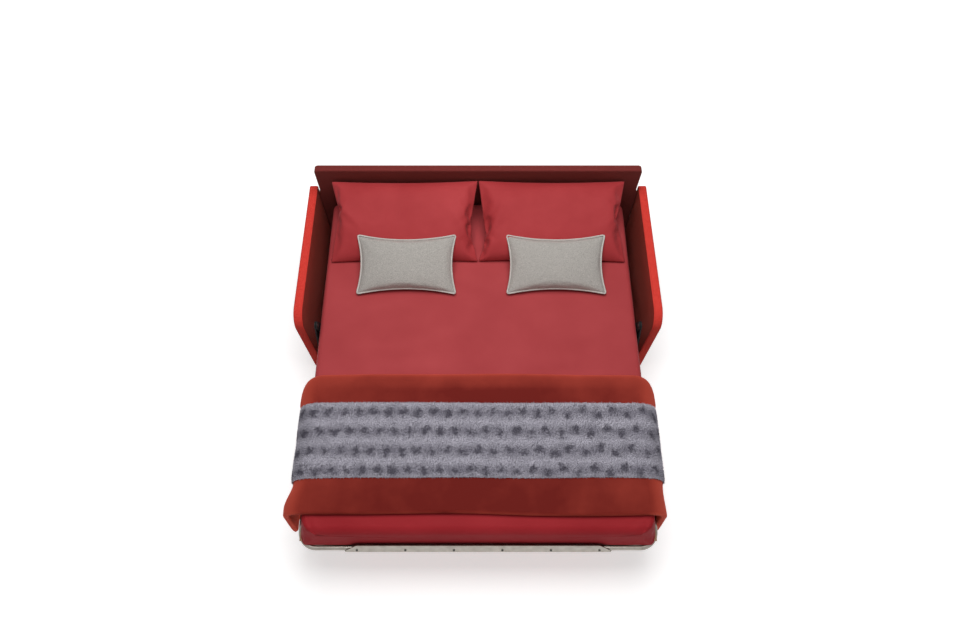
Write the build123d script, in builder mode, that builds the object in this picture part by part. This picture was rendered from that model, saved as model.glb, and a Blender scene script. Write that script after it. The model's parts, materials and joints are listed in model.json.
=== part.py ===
from build123d import *
from math import cos, radians, sin
import os

# A sofa bed, shown open and made up. Millimetres, +Z up, +X across the bed, and
# +Y towards the back panel. The origin is the middle of the object on the floor.
# A distance called "from the head" is measured from the back panel's front face
# towards the foot, and y_at() turns it into Y.

os.makedirs("parts", exist_ok=True)

# Mattress and overall reach
mattress_width = 1600
mattress_length = 1800
mattress_thickness = 130
mattress_top = 500
foot_overhang = 40
foot_reach = mattress_length + foot_overhang

# Back panel and arms
back_thickness = 40
back_rise = 260
back_side_gap = 17
back_corner_radius = 25
arm_thickness = 48
arm_front = 793
arm_rise = 90
arm_side_gap = 71
arm_corner_radius = 90
arm_edge_radius = 8
floor_gap = 25
cover_thickness = 8

# Where the bed folds, from the head, and how far the head section sinks
head_fold = 780
foot_fold = 1350
fold_rise = 25
swing_length = 300
swing_angle = 30

# Tubes, plates and slats
rail_size = 25
tube_diameter = 25
tube_wall = 2
plate_thickness = 5
plate_gap = 3
mattress_side_clear = 3
swing_bar_thickness = 8
swing_bar_width = 30
swing_bar_gap = 6
side_plate_thickness = 6
slat_width = 60
slat_thickness = 8
slat_inset = 3
head_slat_count = 8
mid_slat_count = 6
foot_slat_count = 4
pin_radius = 6
pin_head_radius = 9
pin_head_thickness = 2
pin_collar_radius = 10
running_clearance = 0.05
open_pivot_clearance = 0.5
seat_clearance = 0.3
hinge_ear_radius = 20
overrun = 10

# Heights and side distances that follow from the sizes above
overall_length = back_thickness + foot_reach
head_face = overall_length / 2 - back_thickness
mattress_side = mattress_width / 2
mattress_bottom = mattress_top - mattress_thickness
rail_z = mattress_bottom - slat_thickness - rail_size / 2
rail_low = rail_z - rail_size / 2
rail_high = rail_z + rail_size / 2
fold_z = mattress_top + fold_rise
inner_plate_x = mattress_side + mattress_side_clear
outer_plate_x = inner_plate_x + plate_thickness + plate_gap
swing_bar_x = outer_plate_x + plate_thickness + swing_bar_gap
side_plate_x = swing_bar_x + swing_bar_thickness + swing_bar_gap
arm_inner_x = mattress_side + arm_side_gap
back_half_width = arm_inner_x - back_side_gap
hoop_x = outer_plate_x + plate_thickness / 2
swing_rise = swing_length * sin(radians(swing_angle))
swing_reach = swing_length * cos(radians(swing_angle))
base_pivot_z = rail_z - swing_rise

# The steel plate inside each arm, which the arm and the back panel bolt to
side_plate_rise = 15
side_plate_low = 10
side_plate_lead = 7
side_plate_corner = 20
side_plate_top = base_pivot_z + side_plate_rise
side_plate_front = arm_front + side_plate_lead
arm_bolt_shares = [(0.1875, 0.7), (0.4125, 0.7), (0.65, 0.42), (0.875, 0.42)]
arm_bolt_places = [(run * side_plate_front, rise * side_plate_top) for run, rise in arm_bolt_shares]


def y_at(from_head):
    """Y of a place given by its distance from the back panel's front face."""
    return head_face - from_head


def block(x, from_head, z, mode=Mode.ADD):
    """A box between (low, high) pairs: X, distance from the head, Z."""
    centre = (sum(x) / 2, y_at(sum(from_head) / 2), sum(z) / 2)
    with Locations(centre):
        Box(x[1] - x[0], from_head[1] - from_head[0], z[1] - z[0], mode=mode)


def rod(x, from_head, z, radius, mode=Mode.ADD):
    """A round bar along X between two distances from the centre line."""
    with Locations(Location((sum(x) / 2, y_at(from_head), z), (0, 90, 0))):
        Cylinder(radius, x[1] - x[0], mode=mode)


def post(x, from_head, z, radius, mode=Mode.ADD):
    """An upright round bar between two heights."""
    with Locations((x, y_at(from_head), sum(z) / 2)):
        Cylinder(radius, z[1] - z[0], mode=mode)


def keep(builder, name):
    """Names a finished piece and writes its file."""
    builder.part.label = name
    export_step(builder.part, f"parts/{name}.step")


# Arms: a plywood core in a padded fabric cover, with the front top corner rounded

arm_rear = -back_thickness
arm_top = mattress_top + arm_rise
core_hole_depth = 28
arm_bolt_radius = 4
arm_bolt_head_radius = 8
arm_bolt_head_thickness = 4
arm_spacer_radius = 12


def arm_outline(sketch, inset):
    """Side view of an arm, drawn in by inset all round."""
    front = y_at(arm_front - inset)
    rear = y_at(arm_rear + inset)
    low = floor_gap + inset
    high = arm_top - inset
    with BuildLine() as outline:
        Polyline((front, high), (front, low), (rear, low), (rear, high), close=True)
    make_face(outline.edges())
    front_top = sketch.vertices().group_by(Axis.X)[0].sort_by(Axis.Y)[-1]
    fillet(front_top, arm_corner_radius - inset)


def arm_bolt_holes(side, x, radius):
    """Cuts the bolt holes of one arm between two distances from the centre line."""
    for from_head, z in arm_bolt_places:
        low, high = sorted((side * x[0], side * x[1]))
        rod((low, high), from_head, z, radius, mode=Mode.SUBTRACT)


for side, side_name in ((-1, "left"), (1, "right")):
    inner_x = side * arm_inner_x
    core_x = side * (arm_inner_x + cover_thickness)
    core_thickness = arm_thickness - 2 * cover_thickness
    hole_x = (arm_inner_x - overrun, arm_inner_x + core_hole_depth)

    with BuildPart() as arm_core:
        with BuildSketch(Plane.YZ.offset(core_x)) as core_side:
            arm_outline(core_side, cover_thickness)
        extrude(amount=side * core_thickness)
        arm_bolt_holes(side, hole_x, arm_bolt_radius + running_clearance)
    keep(arm_core, f"arm_core_{side_name}")

    with BuildPart() as arm_cover:
        with BuildSketch(Plane.YZ.offset(inner_x)) as cover_side:
            arm_outline(cover_side, 0)
        extrude(amount=side * arm_thickness)
        fillet(arm_cover.faces().filter_by(Axis.X).edges(), arm_edge_radius)
        with BuildSketch(Plane.YZ.offset(core_x)) as hollow_side:
            arm_outline(hollow_side, cover_thickness)
        extrude(amount=side * core_thickness, mode=Mode.SUBTRACT)
        arm_bolt_holes(side, hole_x, arm_bolt_radius + running_clearance)
    keep(arm_cover, f"arm_cover_{side_name}")

# Back panel: the same make, standing between the arms

back_top = mattress_top + back_rise
back_bolt_radius = 3
back_bolt_depth = 24
back_bolt_shares = (0.37, 0.815)
back_bolt_heights = [share * side_plate_top for share in back_bolt_shares]
back_flange_width = 24
back_flange_low = 40


def back_panel_outline(sketch, inset):
    """Front view of the back panel, drawn in by inset all round."""
    high = back_top - inset
    low = floor_gap + inset
    reach = back_half_width - inset
    with BuildLine() as outline:
        Polyline((-reach, high), (-reach, low), (reach, low), (reach, high), close=True)
    make_face(outline.edges())
    fillet(sketch.vertices().group_by(Axis.Y)[-1], back_corner_radius - inset)


def back_bolt_holes(depth):
    """Cuts the bolt holes that hold the panel to the side plates' flanges."""
    for x in (-1, 1):
        for z in back_bolt_heights:
            centre = (x * (side_plate_x - back_flange_width / 2), y_at(0), z)
            with Locations(Location(centre, (90, 0, 0))):
                Cylinder(back_bolt_radius + running_clearance, 2 * depth, mode=Mode.SUBTRACT)


with BuildPart() as back_core:
    with BuildSketch(Plane.XZ.offset(-y_at(-cover_thickness))) as core_front:
        back_panel_outline(core_front, cover_thickness)
    extrude(amount=-(back_thickness - 2 * cover_thickness))
    back_bolt_holes(back_bolt_depth)
keep(back_core, "back_core")

with BuildPart() as back_cover:
    with BuildSketch(Plane.XZ.offset(-y_at(0))) as cover_front:
        back_panel_outline(cover_front, 0)
    extrude(amount=-back_thickness)
    fillet(back_cover.faces().filter_by(Axis.Y).edges(), arm_edge_radius)
    with BuildSketch(Plane.XZ.offset(-y_at(-cover_thickness))) as hollow_front:
        back_panel_outline(hollow_front, cover_thickness)
    extrude(amount=-(back_thickness - 2 * cover_thickness), mode=Mode.SUBTRACT)
    back_bolt_holes(back_bolt_depth)
keep(back_cover, "back_cover")

# Base: a steel plate inside each arm, two cross rails on glides, and a kick panel

front_swing_setback = 75
swing_spacing_share = 0.442308
swing_spacing = head_fold * swing_spacing_share
front_swing_top = head_fold - front_swing_setback
rear_swing_top = front_swing_top - swing_spacing
swing_tops = (front_swing_top, rear_swing_top)
lightening_radius = 38
lightening_shares = [(0.0875, 0.42), (0.3, 0.51), (0.5375, 0.47), (0.7625, 0.56)]
cross_rail_height = 22
cross_rail_width = 30
rear_rail_place = 40
panel_thickness = 15
panel_low = 15
panel_high = 110
panel_side_gap = 11
panel_half_width = arm_inner_x - panel_side_gap
panel_edge_radius = 5

with BuildPart() as side_plates:
    with BuildSketch(Plane.YZ.offset(side_plate_x)) as side_plate_sketch:
        with BuildLine():
            Polyline(
                (y_at(0), side_plate_low),
                (y_at(0), side_plate_top),
                (y_at(side_plate_front), side_plate_top),
                (y_at(side_plate_front), side_plate_low),
                close=True,
            )
        make_face()
        fillet(side_plate_sketch.vertices().group_by(Axis.X)[0], side_plate_corner)
        for run, rise in lightening_shares:
            with Locations((y_at(run * side_plate_front), rise * side_plate_top)):
                Circle(lightening_radius, mode=Mode.SUBTRACT)
        for from_head, z in arm_bolt_places:
            with Locations((y_at(from_head), z)):
                Circle(arm_bolt_radius + running_clearance, mode=Mode.SUBTRACT)
    extrude(amount=side_plate_thickness)
    flange_x = (side_plate_x - back_flange_width, side_plate_x)
    flange_z = (back_flange_low, side_plate_top)
    block(flange_x, (0, plate_thickness), flange_z)
    mirror(about=Plane.YZ)
    back_bolt_holes(back_bolt_depth)
keep(side_plates, "side_plates")

with BuildPart() as cross_rails:
    rail_x = (-side_plate_x, side_plate_x)
    rail_heights = (side_plate_low, side_plate_low + cross_rail_height)
    for place in (rear_rail_place, side_plate_front - cross_rail_width):
        block(rail_x, (place, place + cross_rail_width), rail_heights)
        bore_y = (place + tube_wall, place + cross_rail_width - tube_wall)
        bore_z = (rail_heights[0] + tube_wall, rail_heights[1] - tube_wall)
        block(rail_x, bore_y, bore_z, mode=Mode.SUBTRACT)
keep(cross_rails, "cross_rails")

with BuildPart() as front_panel:
    panel_place = (side_plate_front, side_plate_front + panel_thickness)
    block((-panel_half_width, panel_half_width), panel_place, (panel_low, panel_high))
    fillet(front_panel.faces().sort_by(Axis.Y)[0].edges(), panel_edge_radius)
keep(front_panel, "front_panel")

rail_glide_radius = 15
rail_glide_inset = 60
arm_glide_radius = 18
arm_glide_inset = 60

with BuildPart() as rail_glides:
    for place in (rear_rail_place, side_plate_front - cross_rail_width):
        glide_x = side_plate_x - rail_glide_inset
        post(glide_x, place + cross_rail_width / 2, (0, side_plate_low), rail_glide_radius)
    mirror(about=Plane.YZ)
keep(rail_glides, "rail_glides")

with BuildPart() as arm_glides:
    for place in (arm_rear + arm_glide_inset, arm_front - arm_glide_inset):
        post(arm_inner_x + arm_thickness / 2, place, (0, floor_gap), arm_glide_radius)
    mirror(about=Plane.YZ)
keep(arm_glides, "arm_glides")

with BuildPart() as arm_bolts:
    plate_outer_x = side_plate_x + side_plate_thickness
    for from_head, z in arm_bolt_places:
        rod((side_plate_x - arm_bolt_head_thickness, side_plate_x), from_head, z, arm_bolt_head_radius)
        rod((side_plate_x, arm_inner_x + core_hole_depth), from_head, z, arm_bolt_radius)
        rod((plate_outer_x, arm_inner_x), from_head, z, arm_spacer_radius)
    mirror(about=Plane.YZ)
keep(arm_bolts, "arm_bolts")

with BuildPart() as back_bolts:
    for z in back_bolt_heights:
        bolt_x = side_plate_x - back_flange_width / 2
        with Locations(Location((bolt_x, y_at(plate_thickness), z), (90, 0, 0))):
            Cylinder(2 * back_bolt_radius, back_bolt_radius, align=(Align.CENTER, Align.CENTER, Align.MIN))
            shank = plate_thickness + back_bolt_depth
            Cylinder(back_bolt_radius, shank, align=(Align.CENTER, Align.CENTER, Align.MAX))
    mirror(about=Plane.YZ)
keep(back_bolts, "back_bolts")

# Swing arms: two parallel pairs that lower the head section and keep it level

with BuildPart() as swing_base_pins:
    for top in swing_tops:
        place = top - swing_reach
        clip = swing_bar_x - seat_clearance
        rod((swing_bar_x + swing_bar_thickness + seat_clearance, side_plate_x), place, base_pivot_z, pin_collar_radius)
        rod((clip, side_plate_x), place, base_pivot_z, pin_radius)
        rod((clip - pin_head_thickness, clip), place, base_pivot_z, pin_head_radius)
    mirror(about=Plane.YZ)
keep(swing_base_pins, "swing_base_pins")


def swing_pair(top, top_clearance):
    """A bar on each side, from its pivot on the base up to the head section."""
    bar_y = y_at(top - swing_reach / 2)
    bar_z = rail_z - swing_rise / 2
    with BuildPart() as bars:
        with BuildSketch(Plane.YZ.offset(swing_bar_x)):
            with Locations(Location((bar_y, bar_z), -swing_angle)):
                SlotCenterToCenter(swing_length, swing_bar_width)
            with Locations((y_at(top - swing_reach), base_pivot_z)):
                Circle(pin_radius + running_clearance, mode=Mode.SUBTRACT)
            with Locations((y_at(top), rail_z)):
                Circle(pin_radius + top_clearance, mode=Mode.SUBTRACT)
        extrude(amount=swing_bar_thickness)
        mirror(about=Plane.YZ)
    return bars


keep(swing_pair(front_swing_top, running_clearance), "front_swing_arms")
keep(swing_pair(rear_swing_top, open_pivot_clearance), "rear_swing_arms")

# Head section: rails, slats and the plates that carry the first fold's pins

fold_play = 15
head_start = 14
head_rail_end = head_fold - fold_play
head_plate_lead = 30
ear_reach = 80


def side_rails(start, end):
    """A square tube along each side of a section."""
    with BuildPart() as rails:
        tube_x = (inner_plate_x - rail_size, inner_plate_x)
        block(tube_x, (start, end), (rail_low, rail_high))
        bore_x = (tube_x[0] + tube_wall, tube_x[1] - tube_wall)
        block(bore_x, (start, end), (rail_low + tube_wall, rail_high - tube_wall), mode=Mode.SUBTRACT)
        mirror(about=Plane.YZ)
    return rails


def cross_tubes(places, half_length):
    """Square tubes across a section, each given by where it starts."""
    with BuildPart() as tubes:
        for place in places:
            tube_x = (-half_length, half_length)
            block(tube_x, (place, place + rail_size), (rail_low, rail_high))
            bore_y = (place + tube_wall, place + rail_size - tube_wall)
            block(tube_x, bore_y, (rail_low + tube_wall, rail_high - tube_wall), mode=Mode.SUBTRACT)
    return tubes


def slat_row(start, end, count, half_length):
    """Sprung slats across a section, evenly spaced between start and end."""
    step = (end - start - slat_width) / (count - 1)
    with BuildPart() as slats:
        for index in range(count):
            place = start + index * step
            block((-half_length, half_length), (place, place + slat_width), (rail_high, mattress_bottom))
    return slats


rail_inner_x = inner_plate_x - rail_size
slat_half_length = inner_plate_x - slat_inset

keep(side_rails(head_start, head_rail_end), "head_side_rails")
head_cross_places = (head_start, (head_start + head_rail_end - rail_size) / 2, head_rail_end - rail_size)
keep(cross_tubes(head_cross_places, rail_inner_x), "head_cross_rails")
keep(slat_row(head_start, head_rail_end, head_slat_count, slat_half_length), "head_slats")

with BuildPart() as head_plates:
    with BuildSketch(Plane.YZ.offset(inner_plate_x)):
        with BuildLine():
            Polyline(
                (y_at(rear_swing_top - head_plate_lead), rail_low),
                (y_at(rear_swing_top - head_plate_lead), rail_high),
                (y_at(head_fold - ear_reach), rail_high),
                (y_at(head_fold - hinge_ear_radius), fold_z),
                (y_at(head_fold + hinge_ear_radius), fold_z),
                (y_at(head_rail_end), rail_high),
                (y_at(head_rail_end), rail_low),
                close=True,
            )
        make_face()
        with Locations((y_at(head_fold), fold_z)):
            Circle(hinge_ear_radius)
            Circle(pin_radius + running_clearance, mode=Mode.SUBTRACT)
    extrude(amount=plate_thickness)
    mirror(about=Plane.YZ)
keep(head_plates, "head_plates")

with BuildPart() as swing_top_pins:
    stud_x = inner_plate_x + plate_thickness
    for place in swing_tops:
        rod((stud_x, swing_bar_x - seat_clearance), place, rail_z, pin_collar_radius)
        clip = swing_bar_x + swing_bar_thickness + seat_clearance
        rod((stud_x, clip), place, rail_z, pin_radius)
        rod((clip, clip + pin_head_thickness), place, rail_z, pin_head_radius)
    mirror(about=Plane.YZ)
keep(swing_top_pins, "swing_top_pins")

# Mattress: one foam mattress, in three lengths that meet at the folds

seam_gap = 1
mattress_start = 12
mattress_edge_radius = 22
mattress_end_radius = 35


def mattress_piece(start, end, end_radius):
    """A length of the mattress with its long top edges rounded."""
    with BuildPart() as piece:
        block((-mattress_side, mattress_side), (start, end), (mattress_bottom, mattress_top))
        long_edges = piece.edges().filter_by(Axis.Y).group_by(Axis.Z)[-1]
        fillet(long_edges, mattress_edge_radius)
        if end_radius:
            fillet(piece.faces().sort_by(Axis.Y)[0].edges().group_by(Axis.Z)[-1], end_radius)
    return piece


keep(mattress_piece(mattress_start, head_fold - seam_gap, 0), "mattress_head")
keep(mattress_piece(head_fold + seam_gap, foot_fold - seam_gap, 0), "mattress_mid")
keep(mattress_piece(foot_fold + seam_gap, mattress_length, mattress_end_radius), "mattress_foot")

# Middle section: its rails, and the plates that reach up to the first fold

mid_rail_gap = 20
mid_rail_start = head_fold + mid_rail_gap
mid_rail_end = foot_fold - fold_play
fold_spacer_inset = 5
fold_spacer_length = 65
spacer_start = mid_rail_start + fold_spacer_inset
spacer_end = spacer_start + fold_spacer_length
foot_plate_reach = 60

keep(side_rails(mid_rail_start, mid_rail_end), "mid_side_rails")
mid_cross_places = (mid_rail_start, (mid_rail_start + mid_rail_end - rail_size) / 2, mid_rail_end - rail_size)
keep(cross_tubes(mid_cross_places, rail_inner_x), "mid_cross_rails")
keep(slat_row(mid_rail_start, mid_rail_end, mid_slat_count, slat_half_length), "mid_slats")

with BuildPart() as mid_fold_plates:
    with BuildSketch(Plane.YZ.offset(outer_plate_x)):
        with BuildLine():
            Polyline(
                (y_at(spacer_end), rail_low),
                (y_at(spacer_end), rail_high),
                (y_at(head_fold + hinge_ear_radius), fold_z),
                (y_at(head_fold - hinge_ear_radius), fold_z),
                (y_at(spacer_start), rail_high),
                (y_at(spacer_start), rail_low),
                close=True,
            )
        make_face()
        with Locations((y_at(head_fold), fold_z)):
            Circle(hinge_ear_radius)
            Circle(pin_radius + running_clearance, mode=Mode.SUBTRACT)
    extrude(amount=plate_thickness)
    block((inner_plate_x, outer_plate_x), (spacer_start, spacer_end), (rail_low, rail_high))
    mirror(about=Plane.YZ)
keep(mid_fold_plates, "mid_fold_plates")


def hinge_pins(place, z):
    """A headed pin on each side through the inner and the outer plate."""
    with BuildPart() as pins:
        inner_head = inner_plate_x - seat_clearance
        outer_head = outer_plate_x + plate_thickness
        rod((inner_head - pin_head_thickness, inner_head), place, z, pin_head_radius)
        rod((inner_head, outer_head), place, z, pin_radius)
        rod((outer_head, outer_head + pin_head_thickness), place, z, pin_head_radius)
        mirror(about=Plane.YZ)
    return pins


keep(hinge_pins(head_fold, fold_z), "head_fold_pins")

with BuildPart() as mid_foot_plates:
    with BuildSketch(Plane.YZ.offset(inner_plate_x)):
        with BuildLine():
            Polyline(
                (y_at(foot_fold - foot_plate_reach), rail_low),
                (y_at(foot_fold - foot_plate_reach), rail_high),
                (y_at(foot_fold), rail_high),
                (y_at(foot_fold), rail_low),
                close=True,
            )
        make_face()
        with Locations((y_at(foot_fold), rail_z)):
            Circle(hinge_ear_radius)
            Circle(pin_radius + running_clearance, mode=Mode.SUBTRACT)
    extrude(amount=plate_thickness)
    mirror(about=Plane.YZ)
keep(mid_foot_plates, "mid_foot_plates")

# Cushions: a crowned form with sides that draw in between its corners

section_shares = (-1, -0.72, 0, 0.72, 1)
fullness_shares = (0, 0.78, 1, 0.78, 0)


def cushion_form(base, length, width, edge, crown, belly, pull):
    """A cushion centred on a plane: X along its length, Y across, Z through it.

    edge is its thickness at the rim, crown and belly how far it swells above and
    below that, and pull how far each side draws in at the middle.
    """
    with BuildPart() as form:
        for place_share, full_share in zip(section_shares, fullness_shares):
            place = place_share * length / 2
            half = width / 2 - pull * full_share
            rise = edge / 2 + crown * full_share
            drop = edge / 2 + belly * full_share
            section = Plane(base.from_local_coords((place, 0, 0)), x_dir=base.y_dir, z_dir=base.x_dir)
            with BuildSketch(section):
                with BuildLine():
                    swell_line((-half, edge / 2), (half, edge / 2), rise)
                    Line((half, edge / 2), (half, -edge / 2))
                    swell_line((half, -edge / 2), (-half, -edge / 2), -drop)
                    Line((-half, -edge / 2), (-half, edge / 2))
                make_face()
        loft()
        side_radius = (width / 2) ** 2 / (2 * pull)
        for end in (-1, 1):
            centre = (end * (length / 2 - pull + side_radius), 0, 0)
            turned = Location(base.from_local_coords(centre)) * Location((0, 0, 0), base_angles(base))
            with Locations(turned):
                Cylinder(side_radius, 4 * (edge + crown + belly), mode=Mode.SUBTRACT)
    return form


def swell_line(start, end, level):
    """A shallow arc through level at its middle, or a straight line at the rim."""
    if abs(level) > abs(start[1]):
        ThreePointArc(start, (0, level), end)
    else:
        Line(start, end)


def base_angles(base):
    """The turn, in degrees, that lays a shape on a plane."""
    return base.location.orientation


# Seat cushions on their board, under the middle section while the bed is open

board_thickness = 6
seat_board_inset = 18
seat_cushion_inset = 10
seat_overlap = 30
seat_foot_gap = 28
cushion_split = 2
seat_edge = 70
seat_crown = 20
back_cushion_edge = 80
back_cushion_crown = 30
cushion_pull = 6
board_low = rail_low - board_thickness

with BuildPart() as seat_board:
    board_x = (seat_board_inset - rail_inner_x, rail_inner_x - seat_board_inset)
    block(board_x, (mid_rail_start, mid_rail_end - rail_size / 2), (board_low, rail_low))
keep(seat_board, "seat_board")


def hanging_cushion(side, outer, start, end, edge, crown):
    """A cushion below a board, its crown facing down while the bed is open."""
    length = outer - cushion_split
    centre = (side * (outer + cushion_split) / 2, y_at((start + end) / 2), board_low - seat_clearance - edge / 2)
    base = Plane(centre, x_dir=(1, 0, 0), z_dir=(0, 0, -1))
    return cushion_form(base, length, end - start, edge, crown, 0, cushion_pull)


for side, side_name in ((-1, "left"), (1, "right")):
    seat_side = rail_inner_x - seat_cushion_inset
    seat_place = (head_fold - seat_overlap, foot_fold - seat_foot_gap)
    seat = hanging_cushion(side, seat_side, *seat_place, seat_edge, seat_crown)
    keep(seat, f"seat_cushion_{side_name}")

# Foot section: a bent steel hoop, two spars, the leg bearings and the mattress stop

hoop_bend_radius = 75
foot_cross_gap = 30
foot_cross_start = foot_fold + foot_cross_gap
hoop_start = foot_cross_start + rail_size
spar_x = 380
leg_setback = 100
leg_pivot = foot_fold + leg_setback
leg_pivot_drop = 3
leg_pivot_z = rail_z - leg_pivot_drop
torsion_bar_radius = 8
bearing_width = 27
bearing_length = 30
stop_thickness = 4
stop_half_length = 605
stop_drop = 10
stop_rise = 45
stop_slope = 55
stop_corner_radius = 15
stop_bolt_count = 6
stop_bolt_radius = 5
stop_bolt_head = 3
stop_bolt_rise = 6
stop_bolt_spacing = 2 * (stop_half_length - stop_slope) / (stop_bolt_count - 1)
stop_lean = 20
stop_out, stop_up = cos(radians(stop_lean)), sin(radians(stop_lean))
stop_edge_reach = (tube_diameter / 2 + stop_thickness) * stop_out + stop_drop * stop_up
stop_bolt_reach = (tube_diameter / 2 + stop_thickness + stop_bolt_head) * stop_out
stop_bolt_reach += (stop_bolt_radius - stop_bolt_rise) * stop_up
hoop_y = foot_reach - max(stop_edge_reach, stop_bolt_reach)

with BuildPart() as foot_hoop:
    with BuildLine() as hoop_path:
        FilletPolyline(
            (hoop_x, y_at(hoop_start), rail_z),
            (hoop_x, y_at(hoop_y), rail_z),
            (-hoop_x, y_at(hoop_y), rail_z),
            (-hoop_x, y_at(hoop_start), rail_z),
            radius=hoop_bend_radius,
        )
    with BuildSketch(Plane((hoop_x, y_at(hoop_start), rail_z), x_dir=(1, 0, 0), z_dir=(0, -1, 0))):
        Circle(tube_diameter / 2)
        Circle(tube_diameter / 2 - tube_wall, mode=Mode.SUBTRACT)
    sweep()
keep(foot_hoop, "foot_hoop")

with BuildPart() as foot_plates:
    with BuildSketch(Plane.YZ.offset(outer_plate_x)):
        with BuildLine():
            Polyline(
                (y_at(hoop_start), rail_low),
                (y_at(hoop_start), rail_high),
                (y_at(foot_fold), rail_high),
                (y_at(foot_fold), rail_low),
                close=True,
            )
        make_face()
        with Locations((y_at(foot_fold), rail_z)):
            Circle(hinge_ear_radius)
            Circle(pin_radius + running_clearance, mode=Mode.SUBTRACT)
    extrude(amount=plate_thickness)
    mirror(about=Plane.YZ)
keep(foot_plates, "foot_plates")

keep(hinge_pins(foot_fold, rail_z), "foot_fold_pins")
keep(cross_tubes((foot_cross_start,), outer_plate_x), "foot_cross_rail")

with BuildPart() as foot_spars:
    spar_start = foot_cross_start + rail_size
    spar_end = hoop_y - tube_diameter / 2
    spar_pair_x = (spar_x - rail_size / 2, spar_x + rail_size / 2)
    block(spar_pair_x, (spar_start, spar_end), (rail_low, rail_high))
    bore_x = (spar_pair_x[0] + tube_wall, spar_pair_x[1] - tube_wall)
    block(bore_x, (spar_start, spar_end), (rail_low + tube_wall, rail_high - tube_wall), mode=Mode.SUBTRACT)
    rod(spar_pair_x, leg_pivot, leg_pivot_z, torsion_bar_radius + running_clearance, mode=Mode.SUBTRACT)
    mirror(about=Plane.YZ)
keep(foot_spars, "foot_spars")

bearing_outer_x = hoop_x - tube_diameter / 2
bearing_x = (bearing_outer_x - bearing_width, bearing_outer_x)

with BuildPart() as leg_bearings:
    bearing_place = (leg_pivot - bearing_length / 2, leg_pivot + bearing_length / 2)
    block(bearing_x, bearing_place, (rail_low, rail_high))
    rod(bearing_x, leg_pivot, leg_pivot_z, torsion_bar_radius + running_clearance, mode=Mode.SUBTRACT)
    mirror(about=Plane.YZ)
keep(leg_bearings, "leg_bearings")

foot_slat_inset = 5
foot_slats_start = foot_cross_start + foot_slat_inset
foot_slats_end = mattress_length - foot_slat_inset
keep(slat_row(foot_slats_start, foot_slats_end, foot_slat_count, hoop_x), "foot_slats")

# The stop lies against the outside of the hoop and leans back over it
stop_plane = Plane((0, y_at(hoop_y), rail_z), x_dir=(1, 0, 0), z_dir=(0, -stop_out, stop_up))

with BuildPart() as mattress_stop:
    with BuildSketch(stop_plane.offset(tube_diameter / 2)) as stop_sketch:
        with BuildLine():
            Polyline(
                (-stop_half_length, -stop_drop),
                (-stop_half_length, 0),
                (stop_slope - stop_half_length, stop_rise),
                (stop_half_length - stop_slope, stop_rise),
                (stop_half_length, 0),
                (stop_half_length, -stop_drop),
                close=True,
            )
        make_face()
        fillet(stop_sketch.vertices().group_by(Axis.Y)[-1], stop_corner_radius)
    extrude(amount=stop_thickness)
keep(mattress_stop, "mattress_stop")

with BuildPart() as stop_bolts:
    with Locations(stop_plane.offset(tube_diameter / 2 + stop_thickness)):
        with Locations((0, stop_bolt_rise)):
            with GridLocations(stop_bolt_spacing, 0, stop_bolt_count, 1):
                Cylinder(stop_bolt_radius, stop_bolt_head, align=(Align.CENTER, Align.CENTER, Align.MIN))
keep(stop_bolts, "stop_bolts")

leg_inset = 56.5
leg_x = hoop_x - leg_inset
backrest_leg_gap = 42
backrest_inset = 32
backrest_half_width = leg_x - backrest_leg_gap
backrest_start = leg_pivot + bearing_length / 2
backrest_end = foot_reach - backrest_inset

with BuildPart() as backrest_board:
    board_x = (-backrest_half_width, backrest_half_width)
    block(board_x, (foot_cross_start, backrest_end), (board_low, rail_low))
keep(backrest_board, "backrest_board")

for side, side_name in ((-1, "left"), (1, "right")):
    rest = hanging_cushion(
        side, backrest_half_width, backrest_start, backrest_end, back_cushion_edge, back_cushion_crown
    )
    keep(rest, f"back_cushion_{side_name}")

# Legs: two uprights on a torsion bar, standing on rubber feet

leg_foot_height = 20
leg_foot_radius = 14.5
leg_foot_socket = 15

with BuildPart() as torsion_bar:
    reach = bearing_outer_x - seat_clearance
    rod((-reach, reach), leg_pivot, leg_pivot_z, torsion_bar_radius)
keep(torsion_bar, "torsion_bar")

with BuildPart() as leg_uprights:
    post(leg_x, leg_pivot, (leg_foot_height - leg_foot_socket, leg_pivot_z), tube_diameter / 2)
    rod((leg_x - tube_diameter / 2, leg_x + tube_diameter / 2), leg_pivot, leg_pivot_z, tube_diameter / 2)
    rod(
        (leg_x - tube_diameter, leg_x + tube_diameter),
        leg_pivot,
        leg_pivot_z,
        torsion_bar_radius + running_clearance,
        mode=Mode.SUBTRACT,
    )
    mirror(about=Plane.YZ)
keep(leg_uprights, "leg_uprights")

with BuildPart() as leg_feet:
    post(leg_x, leg_pivot, (0, leg_foot_height), leg_foot_radius)
    socket_z = (leg_foot_height - leg_foot_socket, leg_foot_height)
    post(leg_x, leg_pivot, socket_z, tube_diameter / 2, mode=Mode.SUBTRACT)
    mirror(about=Plane.YZ)
keep(leg_feet, "leg_feet")

# Bedclothes: the quilt over the foot half and the plush throw across it

quilt_thickness = 28
quilt_before_fold = 305
quilt_foot_gap = 94
quilt_side_gap = 2
quilt_start = foot_fold - quilt_before_fold
quilt_end = mattress_length - quilt_foot_gap
quilt_inner_x = hoop_x + tube_diameter / 2 + quilt_side_gap
quilt_shoulder = 40
quilt_flare = 32
quilt_flare_length = 146
quilt_flare_start = quilt_end - quilt_flare_length
quilt_mid_drop = 148
quilt_foot_drop = 268
quilt_mid_hem = mattress_top - quilt_mid_drop
quilt_foot_hem = mattress_top - quilt_foot_drop
quilt_fold_length = 18
quilt_fold_shares = (0.45, 1)
throw_thickness = 13
throw_setback = 148
throw_width = 353
throw_start = quilt_start + throw_setback
throw_end = throw_start + throw_width
throw_edge_share = 0.6


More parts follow.
